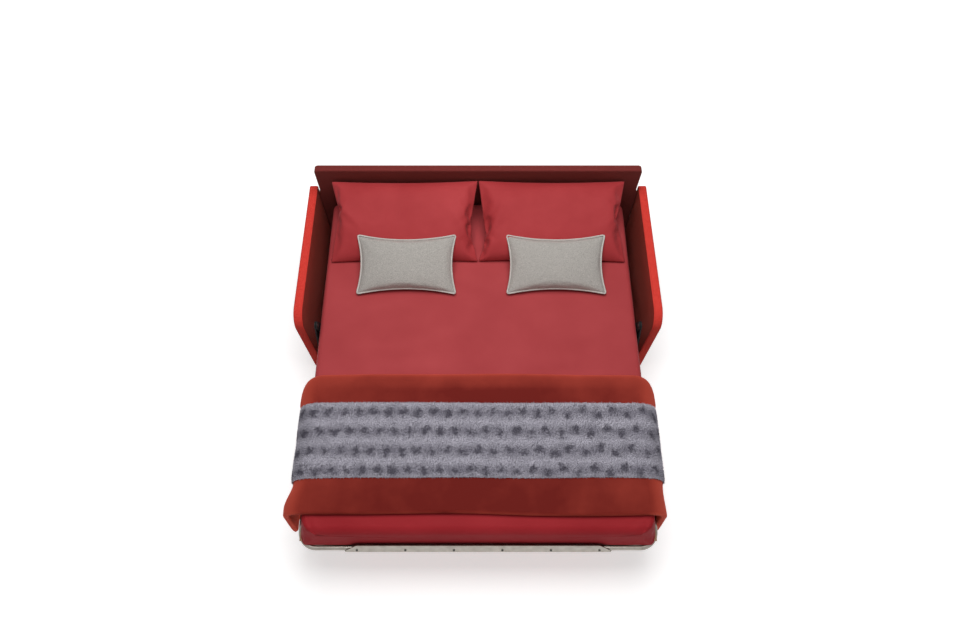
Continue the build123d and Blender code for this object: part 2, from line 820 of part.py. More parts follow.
def cloth_section(place, inner_x, thickness, shoulder, low, hem):
    """Cross-section of cloth laid over the bed, hanging to hem on both sides."""
    outer_x = inner_x + thickness
    high = low + thickness
    with BuildSketch(Plane.XZ.offset(-y_at(place))) as section:
        with Locations((0, hem)):
            RectangleRounded(2 * outer_x, 2 * (high - hem), shoulder + thickness)
            RectangleRounded(2 * inner_x, 2 * (low - hem), shoulder, mode=Mode.SUBTRACT)
            below = (Align.CENTER, Align.MAX)
            Rectangle(2 * outer_x + overrun, high - hem + overrun, align=below, mode=Mode.SUBTRACT)
    return section.sketch.face()


cloth_low = mattress_top + seat_clearance
thin_fold = quilt_thickness * quilt_fold_shares[0]

with BuildPart() as quilt_mid:
    sections = [cloth_section(quilt_start, quilt_inner_x, thin_fold, quilt_shoulder, cloth_low, quilt_mid_hem)]
    for place in (quilt_start + quilt_fold_length, foot_fold - seam_gap / 2):
        sections.append(
            cloth_section(place, quilt_inner_x, quilt_thickness, quilt_shoulder, cloth_low, quilt_mid_hem)
        )
    loft(sections, ruled=True)
keep(quilt_mid, "quilt_mid")

quilt_flared_x = quilt_inner_x + quilt_flare

with BuildPart() as quilt_foot:
    sections = []
    for place, inner_x, thickness in (
        (foot_fold + seam_gap / 2, quilt_inner_x, quilt_thickness),
        (quilt_flare_start, quilt_inner_x, quilt_thickness),
        (quilt_end - quilt_fold_length, quilt_flared_x, quilt_thickness),
        (quilt_end, quilt_flared_x, thin_fold),
    ):
        sections.append(cloth_section(place, inner_x, thickness, quilt_shoulder, cloth_low, quilt_foot_hem))
    loft(sections, ruled=True)
keep(quilt_foot, "quilt_foot")

throw_low = cloth_low + quilt_thickness + seat_clearance
throw_inner_x = quilt_inner_x + quilt_thickness + seat_clearance
throw_shoulder = quilt_shoulder + quilt_thickness
throw_edge = throw_thickness * throw_edge_share

with BuildPart() as throw_blanket:
    sections = []
    for place, thickness in (
        (throw_start, throw_edge),
        (throw_start + quilt_fold_length, throw_thickness),
        (throw_end - quilt_fold_length, throw_thickness),
        (throw_end, throw_edge),
    ):
        sections.append(cloth_section(place, throw_inner_x, thickness, throw_shoulder, throw_low, quilt_mid_hem))
    loft(sections, ruled=True)
keep(throw_blanket, "throw_blanket")

# Pillows and accent cushions, leaning back on the mattress

pillow_lean = 25
pillow_length = 760
pillow_width = 450
pillow_edge = 10
pillow_swell = 65
pillow_pull = 14
pillow_middle_gap = 16
accent_lean = 20
accent_length = 500
accent_width = 300
accent_edge = 10
accent_swell = 45
accent_pull = 14
accent_overlap = 84
accent_left_x = -370
accent_right_x = 402


def support(width, edge, swell, pull, lean):
    """How far a crowned cushion reaches from its centre in a direction turned by lean."""
    corner = width / 2 * sin(lean) + edge / 2 * cos(lean)
    half = width / 2 - pull
    radius = (half**2 + swell**2) / (2 * swell)
    arc = radius - (radius - edge / 2 - swell) * cos(lean)
    return max(corner, arc) if half > radius * sin(lean) else corner


def leaning_plane(x, from_head, rise, lean):
    """The middle plane of a cushion that rests on the mattress and leans back."""
    centre = (x, y_at(from_head), mattress_top + rise + seat_clearance)
    return Plane(centre, x_dir=(1, 0, 0), z_dir=(0, -sin(radians(lean)), cos(radians(lean))))


pillow_size = (pillow_width, pillow_edge, pillow_swell, pillow_pull)
pillow_rise = support(*pillow_size, radians(pillow_lean))
pillow_run = support(*pillow_size, radians(90 - pillow_lean))
pillow_from_head = pillow_run + seat_clearance
accent_size = (accent_width, accent_edge, accent_swell, accent_pull)
accent_rise = support(*accent_size, radians(accent_lean))
accent_run = support(*accent_size, radians(90 - accent_lean))
accent_from_head = pillow_from_head + pillow_run + accent_run - accent_overlap

for side, side_name in ((-1, "left"), (1, "right")):
    x = side * (pillow_length + pillow_middle_gap) / 2
    plane = leaning_plane(x, pillow_from_head, pillow_rise, pillow_lean)
    form = cushion_form(plane, pillow_length, pillow_width, pillow_edge, pillow_swell, pillow_swell, pillow_pull)
    keep(form, f"pillow_{side_name}")

for x, side_name in ((accent_left_x, "left"), (accent_right_x, "right")):
    plane = leaning_plane(x, accent_from_head, accent_rise, accent_lean)
    form = cushion_form(plane, accent_length, accent_width, accent_edge, accent_swell, accent_swell, accent_pull)
    keep(form, f"accent_cushion_{side_name}")
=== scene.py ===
# %% [markdown]
# # A sofa bed, open and made up
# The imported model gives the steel, the wood and a plain solid for each soft part.
# This lesson dresses it: padded arms and a padded back, a mattress in its fitted
# sheet, a velvet quilt, a plush throw, pillows and two piped cushions.

import json
from math import atan2, cos, hypot, pi, radians, sin, sqrt

import bmesh
import bpy
from mathutils import Matrix, Vector, noise


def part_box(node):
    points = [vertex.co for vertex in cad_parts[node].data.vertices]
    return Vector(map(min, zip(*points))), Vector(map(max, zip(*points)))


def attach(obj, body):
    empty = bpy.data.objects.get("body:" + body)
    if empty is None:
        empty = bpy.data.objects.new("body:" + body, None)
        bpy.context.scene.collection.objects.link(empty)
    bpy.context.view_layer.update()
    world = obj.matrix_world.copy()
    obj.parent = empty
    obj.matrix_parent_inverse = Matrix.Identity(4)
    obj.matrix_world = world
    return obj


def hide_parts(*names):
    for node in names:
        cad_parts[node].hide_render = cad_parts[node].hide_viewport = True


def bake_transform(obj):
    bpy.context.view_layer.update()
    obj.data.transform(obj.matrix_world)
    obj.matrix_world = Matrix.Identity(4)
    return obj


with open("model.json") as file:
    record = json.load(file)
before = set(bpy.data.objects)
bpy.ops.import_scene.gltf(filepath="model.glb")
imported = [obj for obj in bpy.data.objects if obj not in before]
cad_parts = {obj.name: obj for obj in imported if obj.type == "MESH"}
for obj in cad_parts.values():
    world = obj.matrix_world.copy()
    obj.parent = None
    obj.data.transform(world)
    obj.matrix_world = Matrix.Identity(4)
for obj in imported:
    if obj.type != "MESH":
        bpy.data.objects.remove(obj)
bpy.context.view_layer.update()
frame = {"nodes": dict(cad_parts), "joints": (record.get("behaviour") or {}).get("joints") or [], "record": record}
scene = bpy.context.scene


# %% [markdown]
# ## Places
# Everything sits where the frame says. The head face is the front of the back
# panel, and most places on the bed are simplest as a distance from it towards the
# foot. The two folds are read from the joints.

# %% Places
head_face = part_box("back_cover")[0][1]
bed_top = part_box("mattress_head")[1][2]
bed_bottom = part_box("mattress_head")[0][2]
bed_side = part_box("mattress_head")[1][0]
joints = {joint["name"]: joint for joint in frame["joints"]}
first_fold = head_face - joints["bed_fold"]["pos_m"][1]
second_fold = head_face - joints["foot_fold"]["pos_m"][1]


def y_at(from_head):
    """Y of a place given by its distance from the head face."""
    return head_face - from_head


def from_head(y):
    """Distance from the head face of a place given by its Y."""
    return head_face - y


def smooth(value, low, high):
    """0 below low, 1 above high, and an easy curve between."""
    share = min(max((value - low) / (high - low), 0), 1)
    return share * share * (3 - 2 * share)


print("folds at", round(first_fold, 3), round(second_fold, 3), "bed top", round(bed_top, 3))

# %% [markdown]
# ## Camera
# The photograph looks down on the foot of the bed from a tall stand. The camera
# sits where the edges of the mattress and the arms meet their vanishing points.

# %% Camera
camera_place = (-0.002, -1.382, 3.603)
camera_tilt = radians(26.46)
focal_pixels = 684.3
image_width = 960
centre_pixel = 477.7
sensor_width = 36

camera_data = bpy.data.cameras.new("camera")
camera_data.sensor_width = sensor_width
camera_data.lens = focal_pixels / image_width * sensor_width
camera_data.shift_x = 0.5 - centre_pixel / image_width
camera = bpy.data.objects.new("camera", camera_data)
camera.location = camera_place
camera.rotation_euler = (camera_tilt, 0, 0)
scene.collection.objects.link(camera)
scene.camera = camera
scene.view_settings.view_transform = "Standard"
print("lens", round(camera_data.lens, 2), "mm")

# %% [markdown]
# ## Light, floor and background
# A wide soft lamp hangs straight over the bed, so upright faces fall dark, and a
# dim world fills them a little. The floor and the world look pale to the camera
# and to metal. The floor glows more the further it is from the bed, so it fades
# to white but keeps a pale shadow.

# %% Lamps and world
lamps = {
    "lamp_over_bed": {"place": (0, 0.6, 4.2), "size": 2.6, "power": 135, "aim": (0, 0.2, 0)},
    "lamp_front": {"place": (0.2, -3.6, 1.2), "size": 2.0, "power": 15, "aim": (0, -0.9, 0.4)},
}
warm_white = (1, 0.985, 0.97, 1)
fill_strength = 0.18


def soft_lamp(name, place, size, power, aim):
    """A square area lamp at place, aimed at a point."""
    data = bpy.data.lights.new(name, "AREA")
    data.size = size
    data.energy = power
    lamp = bpy.data.objects.new(name, data)
    lamp.location = place
    lamp.rotation_euler = (Vector(aim) - Vector(place)).to_track_quat("-Z", "Y").to_euler()
    scene.collection.objects.link(lamp)


def feed(node, inputs):
    """Gives inputs of a node their values, or links the outputs that drive them."""
    for label, value in inputs.items():
        if isinstance(value, bpy.types.NodeSocket):
            node.id_data.links.new(value, node.inputs[label])
        else:
            node.inputs[label].default_value = value


def add_node(tree, kind, inputs=None, **settings):
    """A new node in a tree, with its settings and what its inputs get."""
    node = tree.nodes.new(kind)
    for name, value in settings.items():
        setattr(node, name, value)
    feed(node, inputs or {})
    return node


def seen_or_lit(tree, lit, seen, end):
    """One shader for what things are lit by, one for what is seen directly or mirrored."""
    path = add_node(tree, "ShaderNodeLightPath").outputs
    share = path["Is Camera Ray"]
    for ray in ("Is Glossy Ray", "Is Transmission Ray"):
        most = add_node(tree, "ShaderNodeMath", {0: share, 1: path[ray]}, operation="MAXIMUM")
        share = most.outputs[0]
    shares = {0: share, 1: lit.outputs[0], 2: seen.outputs[0]}
    choose = add_node(tree, "ShaderNodeMixShader", shares)
    feed(tree.nodes[end], {"Surface": choose.outputs[0]})


for name, lamp in lamps.items():
    soft_lamp(name, **lamp)

world = bpy.data.worlds.new("studio")
scene.world = world
world.use_nodes = True
sky = world.node_tree
fill = sky.nodes["Background"]
feed(fill, {"Color": warm_white, "Strength": fill_strength})
seen_or_lit(sky, fill, add_node(sky, "ShaderNodeBackground"), "World Output")

# %% Floor
floor_reach = 14
floor_roughness = 0.9
lit_grey = (0.86, 0.86, 0.86, 1)
seen_grey = (0.9, 0.9, 0.9, 1)
near_glow, far_glow = 0.5, 0.85
glow_start, glow_end = 1.8, 4.2

corners = [(-1, -1), (1, -1), (1, 1), (-1, 1)]
corners = [(x * floor_reach / 2, y * floor_reach / 2, 0) for x, y in corners]
floor_mesh = bpy.data.meshes.new("floor")
floor_mesh.from_pydata(corners, [], [(0, 1, 2, 3)])
floor = bpy.data.objects.new("floor", floor_mesh)
scene.collection.objects.link(floor)
floor_finish = bpy.data.materials.new("floor")
floor_finish.use_nodes = True
tree = floor_finish.node_tree
matt = tree.nodes["Principled BSDF"]
feed(matt, {"Base Color": lit_grey, "Roughness": floor_roughness})
plain = add_node(tree, "ShaderNodeBsdfDiffuse", {"Color": seen_grey})
place = add_node(tree, "ShaderNodeNewGeometry").outputs["Position"]
distance = add_node(tree, "ShaderNodeVectorMath", {0: place}, operation="LENGTH")
reaches = {"Value": distance.outputs["Value"], "From Min": glow_start, "From Max": glow_end}
rise = {**reaches, "To Min": near_glow, "To Max": far_glow}
rise = add_node(tree, "ShaderNodeMapRange", rise).outputs["Result"]
glow = add_node(tree, "ShaderNodeEmission", {"Strength": rise})
both = add_node(tree, "ShaderNodeAddShader", {0: plain.outputs[0], 1: glow.outputs[0]})
seen_or_lit(tree, matt, both, "Material Output")
floor_mesh.materials.append(floor_finish)

# %% [markdown]
# ## How the finishes are made
# A finish starts from a Principled shader. Its colour wanders between two tones
# on a noise, and its bump comes from a noise or from a weave. The weave is a
# product of sines along the three axes, so it runs square on any flat face of a
# piece, with no unwrapping.


# %% Helpers for finishes
def linear(picture_colour):
    """A colour read from a picture, 0 to 255, as the shader wants it."""
    shares = [value / 255 for value in picture_colour]
    return tuple(c / 12.92 if c <= 0.04045 else ((c + 0.055) / 1.055) ** 2.4 for c in shares)


class Finish:
    """A material with its shader, its tree and the coordinates of the object."""

    cloth_mirror = 0.12

    def __init__(self, name, roughness, metallic=0.0):
        self.material = bpy.data.materials.new(name)
        self.material.use_nodes = True
        self.tree = self.material.node_tree
        self.shader = self.tree.nodes["Principled BSDF"]
        feed(self.shader, {"Roughness": roughness, "Metallic": metallic})
        self.place = self.made("TexCoord").outputs["Object"]
        self.normal = None

    def made(self, kind, inputs=None, **settings):
        """A new shader node."""
        return add_node(self.tree, f"ShaderNode{kind}", inputs, **settings)

    def sheen(self, weight, roughness, tint):
        """Cloth: little mirror light, and a soft glow where it's seen edge on."""
        feed(self.shader, {"Specular IOR Level": self.cloth_mirror, "Sheen Weight": weight})
        feed(self.shader, {"Sheen Roughness": roughness, "Sheen Tint": (*linear(tint), 1)})

    def attribute(self, name, output):
        """A value or place stored at each point of the mesh."""
        return self.made("Attribute", attribute_name=name).outputs[output]

    def math(self, operation, first, second=0.5):
        """One sum on two fields or numbers."""
        return self.made("Math", {0: first, 1: second}, operation=operation).outputs[0]

    def noise(self, scale, detail, stretch=None):
        """A noise from 0 to 1, scale lumps to the metre, scaled along each axis."""
        place = self.place
        if stretch:
            place = self.made("Mapping", {"Vector": place, "Scale": stretch}).outputs[0]
        lumps = {"Vector": place, "Scale": scale, "Detail": detail}
        return self.made("TexNoise", lumps).outputs["Fac"]

    def wander(self, scale, detail, size):
        """A noise about zero, half of size either way."""
        return self.math("MULTIPLY", self.math("SUBTRACT", self.noise(scale, detail), 0.5), size)

    def tones(self, field, dark, light, ends=(0.3, 0.7)):
        """Two colours along a field."""
        ramp = self.made("ValToRGB", {0: field})
        for element, position, tone in zip(ramp.color_ramp.elements, ends, (dark, light)):
            element.position = position
            element.color = (*linear(tone), 1)
        return ramp.outputs[0]

    def colour(self, field, dark, light, ends=(0.3, 0.7)):
        """The base colour, between two tones along a field."""
        feed(self.shader, {"Base Color": self.tones(field, dark, light, ends)})

    def mottle(self, scale, detail, dark, light, ends=(0.3, 0.7), stretch=None):
        """The base colour, between two tones on a noise."""
        self.colour(self.noise(scale, detail, stretch), dark, light, ends)

    def rough(self, scale, detail, low, high):
        """Roughness that wanders between two values."""
        spread = {"Value": self.noise(scale, detail), "To Min": low, "To Max": high}
        feed(self.shader, {"Roughness": self.made("MapRange", spread).outputs[0]})

    def bump(self, field, depth, strength):
        """Relief depth metres deep, laid over any relief already there."""
        relief = self.made("Bump", {"Height": field, "Distance": depth, "Strength": strength})
        if self.normal:
            feed(relief, {"Normal": self.normal})
        self.normal = relief.outputs[0]
        feed(self.shader, {"Normal": self.normal})

    def grain(self, scale, detail, depth, strength, stretch=None):
        """Relief from a noise."""
        self.bump(self.noise(scale, detail, stretch), depth, strength)

    def weave(self, pitch, depth, strength):
        """Relief from threads over and under each other, pitch metres apart."""
        axes = self.made("SeparateXYZ", {0: self.place}).outputs
        x, y, z = (self.math("SINE", self.math("MULTIPLY", axis, pi / pitch)) for axis in axes)
        pairs = [self.math("MULTIPLY", first, second) for first, second in ((x, y), (y, z), (z, x))]
        threads = self.math("ADD", self.math("ADD", pairs[0], pairs[1]), pairs[2])
        self.bump(threads, depth, strength)


# %% [markdown]
# ## How the pieces are made
# Most soft pieces here are rings of points joined into a skin: a panel is a
# rounded outline that swells from its middle, turns round its edge and closes on
# the far side. Corners are arcs, and straight runs are cut into short steps so
# that the skin can bend.


# %% Helpers for meshes
def mesh_piece(name, points, faces, outward=True):
    """A smooth mesh object from points and faces."""
    mesh = bpy.data.meshes.new(name)
    mesh.from_pydata([tuple(point) for point in points], [], faces)
    if outward:
        shell = bmesh.new()
        shell.from_mesh(mesh)
        bmesh.ops.recalc_face_normals(shell, faces=shell.faces)
        shell.to_mesh(mesh)
        shell.free()
    mesh.polygons.foreach_set("use_smooth", [True] * len(mesh.polygons))
    piece = bpy.data.objects.new(name, mesh)
    scene.collection.objects.link(piece)
    return piece


def joined(rings, loop=False):
    """Points of rings of equal length, and the faces from each ring to the next."""
    count = len(rings[0])
    faces = []
    for row in range(len(rings) if loop else len(rings) - 1):
        here, there = row * count, (row + 1) % len(rings) * count
        for k in range(count):
            after = (k + 1) % count
            faces.append((here + k, here + after, there + after, there + k))
    return [point for ring in rings for point in ring], faces


def skin(name, rings, loop=False):
    """A skin over rings: a loop joins the last to the first, else a fan closes each end."""
    count = len(rings[0])
    points, faces = joined(rings, loop)
    ends = ((rings[0], 0, -1), (rings[-1], len(points) - count, 1))
    for ring, start, turn in ends if not loop else ():
        middle = len(points)
        points.append(sum(ring, Vector()) / count)
        faces += [(start + k, start + (k + 1) % count, middle)[::turn] for k in range(count)]
    return mesh_piece(name, points, faces)


def cloth_skin(name, rings):
    """A skin over rings that go out along a cloth's face and back along its other."""
    count = len(rings[0])
    points, faces = joined(rings)
    for start, turn in ((0, -1), (len(points) - count, 1)):
        for k in range(count // 2):
            edge = [k, k + 1, count - k - 1, (count - k) % count]
            corners = [start + corner for corner in dict.fromkeys(edge)]
            faces.append(tuple(corners)[::turn])
    return mesh_piece(name, points, faces)


def cloth_ring(spots):
    """A ring out along a cloth's outer face and back along the inner. Each spot is a
    point in the middle of the cloth, its outward direction, half the thickness and Y."""
    outer, inner = [], []
    for centre, out, half, y in spots:
        x_off, z_off = out.x * half, out.z * half
        outer.append(Vector((centre.x + x_off, y, centre.z + z_off)))
        inner.append(Vector((centre.x - x_off, y, centre.z - z_off)))
    return outer + inner[-2:0:-1]


def rounded_outline(corners, step):
    """Points about a step apart along a closed outline of (across, up, radius) corners."""
    arcs = []
    count = len(corners)
    for k, (across, up, radius) in enumerate(corners):
        here = Vector((across, up))
        before = (Vector(corners[k - 1][:2]) - here).normalized()
        after = (Vector(corners[(k + 1) % count][:2]) - here).normalized()
        half_turn = before.angle(after) / 2
        centre = here + (before + after).normalized() * radius / sin(half_turn)
        reach = radius / (sin(half_turn) / cos(half_turn))
        first = here + before * reach - centre
        turn = first.angle_signed(here + after * reach - centre)
        steps = max(4, round(abs(turn) * radius / step * 3))
        arc = []
        for index in range(steps + 1):
            spin = -turn * index / steps
            x = first.x * cos(spin) - first.y * sin(spin)
            arc.append(centre + Vector((x, first.x * sin(spin) + first.y * cos(spin))))
        arcs.append(arc)
    points = []
    for k, arc in enumerate(arcs):
        points += arc
        ahead = arcs[(k + 1) % count][0]
        steps = max(1, round((ahead - arc[-1]).length / step))
        points += [arc[-1].lerp(ahead, index / steps) for index in range(1, steps)]
    return points


def rounded_box(low, high, radii, step):
    """A rectangle's outline, with a radius for each corner, round from the low one."""
    (left, bottom), (right, top) = low, high
    places = ((left, bottom), (right, bottom), (right, top), (left, top))
    return rounded_outline([(*place, radius) for place, radius in zip(places, radii)], step)


def outline_normals(outline):
    """The outward direction at each point of a closed outline."""
    count = len(outline)
    middle = sum(outline, Vector((0, 0))) / count
    normals = []
    for k in range(count):
        along = outline[(k + 1) % count] - outline[k - 1]
        normal = Vector((along.y, -along.x)).normalized()
        normals.append(normal if normal.dot(outline[k] - middle) > 0 else -normal)
    return normals


side_shares = (0.03, 0.2, 0.38, 0.55, 0.7, 0.82, 0.92, 0.98)
rim_steps = 6


def padded_panel(name, outline, place, thickness, edge_radius, crown):
    """A panel from an outline: place(across, up, through) says where a point goes."""
    normals = outline_normals(outline)
    middle = sum(outline, Vector((0, 0))) / len(outline)
    levels = [(s, edge_radius, -thickness / 2 - crown * (1 - s**4)) for s in side_shares]
    for index in range(rim_steps + 1):
        turn = index / rim_steps * pi / 2
        in_by, out_by = edge_radius * (1 - sin(turn)), edge_radius * (1 - cos(turn))
        levels.append((1, in_by, -thickness / 2 + out_by))
    levels += [(share, inset, -through) for share, inset, through in reversed(levels)]
    rings = []
    for share, inset, through in levels:
        ring = []
        for point, normal in zip(outline, normals):
            flat = middle + (point - normal * inset - middle) * share
            ring.append(Vector(place(flat.x, flat.y, through)))
        rings.append(ring)
    return skin(name, rings)


def dress(piece, finish, slot, body, *nodes):
    """Gives a finished piece its material and, unless it will bend, its body. The slot is not used."""
    piece.data.materials.clear()
    piece.data.materials.append(finish.material)
    if body:
        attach(piece, body)
    if nodes:
        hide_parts(*nodes)


def soften(piece):
    """Rounds a mesh off by subdividing it once."""
    modifier = piece.modifiers.new("round_off", "SUBSURF")
    modifier.levels = 1
    modifier.render_levels = 1


# %% [markdown]
# ## Arms and back panel
# Each arm is plywood under thin foam in a woven wool cover, so it reads as a
# soft-edged slab. A flat box would look hard, so the panel swells by a few
# millimetres and its edge is a small roll. The cover is sewn along both edges.

# %% Upholstery finish
# The second and third tones are the same wool painted darker: painted shade for the upright faces and for the back
# panel.
wool_tones = {
    "wool_cover": ((204, 50, 42), (230, 74, 64)),
    "wool_side": ((126, 36, 33), (150, 46, 41)),
    "wool_back": ((100, 39, 37), (122, 50, 47)),
}
wools = []
for name, (dark, light) in wool_tones.items():
    cover = Finish(name, 0.85)
    cover.mottle(260, 4, dark, light)
    cover.sheen(0.12, 0.5, (255, 150, 120))
    cover.grain(9, 2, 0.004, 0.25)
    cover.weave(0.0016, 0.0004, 0.7)
    cover.grain(900, 2, 0.0004, 0.6)
    wools.append(cover)
wool, wool_side, wool_back = wools

# %% Arms
arm_step = 0.022
arm_edge = 0.007
arm_crown = 0.0015
arm_corner = 0.09
low_corner = 0.012
painted_shade_facing = 0.8

seam_paths = []
for side in ("left", "right"):
    low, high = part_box(f"arm_cover_{side}")
    middle_x = (low[0] + high[0]) / 2
    thickness = high[0] - low[0] - 2 * arm_crown
    radii = (low_corner, low_corner, low_corner, arm_corner)
    shape = rounded_box((low[1], low[2]), (high[1], high[2]), radii, arm_step)
    arm = padded_panel(
        f"arm_{side}",
        shape,
        lambda across, up, through: (middle_x + through, across, up),
        thickness,
        arm_edge,
        arm_crown,
    )
    dress(arm, wool, "upholstery_red", "sofa_frame", f"arm_cover_{side}")
    # Faces that look sideways take the darker tone: painted shade on the arms' flat sides.
    arm.data.materials.append(wool_side.material)
    for face in arm.data.polygons:
        face.material_index = 1 if abs(face.normal.x) > painted_shade_facing else 0
    for through in (-1, 1):
        seam_x = middle_x + through * (thickness / 2 - arm_edge)
        seam_paths.append([Vector((seam_x, point.x, point.y)) for point in shape])

# %% Back panel
back_corner = 0.02
back_fullness = 0.004
back_gap = 0.001
shoulder_drop = 0.012
shoulder_slope = 0.02
back_low, back_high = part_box("back_cover")
back_edge = back_high[0] + back_fullness
arm_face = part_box("arm_cover_right")[0][0] - back_gap
shoulder_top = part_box("arm_cover_right")[1][2] - shoulder_drop
back_middle = (back_low[1] + back_high[1]) / 2
back_shape = rounded_box(
    (-back_edge, back_low[2]),
    (back_edge, back_high[2]),
    (low_corner, low_corner, back_corner, back_corner),
    arm_step,
)


def between_arms(across, up):
    """Widens the panel below the tops of the arms, where it fills the gap."""
    low_share = 1 - smooth(up, shoulder_top - shoulder_slope, shoulder_top)
    return across * (1 + (arm_face / back_edge - 1) * low_share)


back_thickness = back_high[1] - back_low[1]
back = padded_panel(
    "back_panel",
    back_shape,
    lambda across, up, through: (between_arms(across, up), back_middle + through, up),
    back_thickness,
    arm_edge,
    0,
)
# The back panel wears the darkest tone of the same wool: painted shade.
dress(back, wool_back, "upholstery_red", "sofa_frame", "back_cover")
for through in (-1, 1):
    seam_y = back_middle + through * (back_thickness / 2 - arm_edge)
    seam_paths.append([Vector((between_arms(p.x, p.y), seam_y, p.y)) for p in back_shape])

# %% Kick panel
panel_low, panel_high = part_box("front_panel")
panel_middle = (panel_low[1] + panel_high[1]) / 2
panel_shape = rounded_box(
    (panel_low[0], panel_low[2]), (panel_high[0], panel_high[2]), [low_corner] * 4, arm_step
)
kick = padded_panel(
    "kick_panel",
    panel_shape,
    lambda across, up, through: (across, panel_middle + through, up),
    panel_high[1] - panel_low[1] - 2 * arm_crown,
    arm_edge / 2,
    arm_crown,
)
# The kick panel faces the front and wears the darker tone: painted shade.
dress(kick, wool_side, "upholstery_red", "sofa_frame", "front_panel")

# %% [markdown]
# ## Stitches
# A seam repeats one small stitch thousands of times along a path, which is work
# for Geometry Nodes: the path is resampled at the stitch pitch, a bead is set on
# each point and turned along the path, and the beads are made real.


# %% Stitch tree
def group_with_inputs(name, inputs):
    """A geometry node group with a geometry in and out, and named inputs."""
    group = bpy.data.node_groups.new(name, "GeometryNodeTree")
    group.interface.new_socket("Geometry", in_out="INPUT", socket_type="NodeSocketGeometry")
    group.interface.new_socket("Geometry", in_out="OUTPUT", socket_type="NodeSocketGeometry")
    for label, kind in inputs.items():
        group.interface.new_socket(label, in_out="INPUT", socket_type=f"NodeSocket{kind}")
    return group, group.nodes.new("NodeGroupInput").outputs


def planted(group, points, shape, rotation, sizes, finish):
    """Ends a tree: sets a shape on points, turned and sized, makes all real and dresses it."""
    size = add_node(group, "ShaderNodeCombineXYZ", dict(zip("XYZ", sizes))).outputs[0]
    places = {"Points": points, "Instance": shape, "Rotation": rotation, "Scale": size}
    scatter = add_node(group, "GeometryNodeInstanceOnPoints", places)
    real = add_node(group, "GeometryNodeRealizeInstances", {0: scatter.outputs[0]})
    dressing = {"Geometry": real.outputs[0], "Material": finish}
    dressed = add_node(group, "GeometryNodeSetMaterial", dressing)
    add_node(group, "NodeGroupOutput", {0: dressed.outputs[0]})


def grown(piece, group, values):
    """The plain mesh that a node group makes of a piece, with the given inputs."""
    modifier = piece.modifiers.new(group.name, "NODES")
    modifier.node_group = group
    for item in group.interface.items_tree:
        if item.in_out == "INPUT" and item.name in values:
            modifier[item.identifier] = values[item.name]
    bpy.context.view_layer.update()
    graph = bpy.context.evaluated_depsgraph_get()
    mesh = bpy.data.meshes.new_from_object(piece.evaluated_get(graph), depsgraph=graph)
    piece.modifiers.remove(modifier)
    return mesh


stitch_group, stitch_in = group_with_inputs(
    "stitch_row",
    {"Pitch": "Float", "Length": "Float", "Thickness": "Float", "Thread": "Material"},
)
path = add_node(stitch_group, "GeometryNodeMeshToCurve", {"Mesh": stitch_in["Geometry"]})
spacing = {"Curve": path.outputs[0], "Length": stitch_in["Pitch"]}
resample = add_node(stitch_group, "GeometryNodeResampleCurve", spacing, mode="LENGTH")
tangent = add_node(stitch_group, "GeometryNodeInputTangent").outputs[0]
turn = add_node(stitch_group, "FunctionNodeAlignRotationToVector", {"Vector": tangent}, axis="Z")
round_bead = {"Segments": 5, "Rings": 4, "Radius": 0.5}
bead = add_node(stitch_group, "GeometryNodeMeshUVSphere", round_bead)
planted(
    stitch_group,
    resample.outputs[0],
    bead.outputs["Mesh"],
    turn.outputs[0],
    [stitch_in[label] for label in ("Thickness", "Thickness", "Length")],
    stitch_in["Thread"],
)

# %% Sew the covers
stitch = {"Pitch": 0.007, "Length": 0.005, "Thickness": 0.0012}

thread = Finish("cover_thread", 0.7)
thread.mottle(400, 3, (150, 26, 22), (176, 38, 32))
thread.grain(1500, 3, 0.0002, 0.5)


def stitched(name, paths, body):
    """One piece of stitches along closed paths."""
    points, edges = [], []
    for path_points in paths:
        start, count = len(points), len(path_points)
        points += path_points
        edges += [(start + k, start + (k + 1) % count) for k in range(count)]
    mesh = bpy.data.meshes.new(name)
    mesh.from_pydata([tuple(point) for point in points], edges, [])
    rows = bpy.data.objects.new(name, mesh)
    scene.collection.objects.link(rows)
    rows.data = grown(rows, stitch_group, {**stitch, "Thread": thread.material})
    rows.data.polygons.foreach_set("use_smooth", [True] * len(rows.data.polygons))
    dress(rows, thread, "upholstery_red", body)


stitched("cover_stitches", seam_paths, "sofa_frame")

# %% [markdown]
# ## Mattress in its fitted sheet
# The foam lies in one length over both folds. A piece can bend between two
# bodies only, so the mattress is two meshes that meet in the middle section,
# where neither bends. The sheet is pulled tight, with faint waves along the top
# and gathers where it turns down at the foot corners.

# %% Sheet finish
cotton_weave = {"pitch": 0.0007, "depth": 0.00012, "strength": 0.5}

cotton = Finish("sheet_cotton", 0.62)
cotton.mottle(3.2, 3, (162, 58, 61), (173, 66, 69))
cotton.sheen(0.08, 0.4, (255, 190, 190))
# The foot half of the sheet is the same cotton painted darker and deeper red: painted shade for the foot end,
# which gets less light and less sheen.
cotton_painted_shade = Finish("sheet_cotton_deep", 0.62)
cotton_painted_shade.mottle(3.2, 3, (148, 31, 38), (160, 38, 45))
cotton_painted_shade.sheen(0.03, 0.4, (255, 120, 120))
for cover in (cotton, cotton_painted_shade):
    cover.grain(5, 2, 0.006, 0.18)
    cover.weave(**cotton_weave)

ticking = Finish("mattress_ticking", 0.8)
ticking.mottle(60, 3, (206, 202, 194), (224, 221, 214))
ticking.weave(0.012, 0.0015, 0.6)
ticking.weave(0.0012, 0.0002, 0.6)

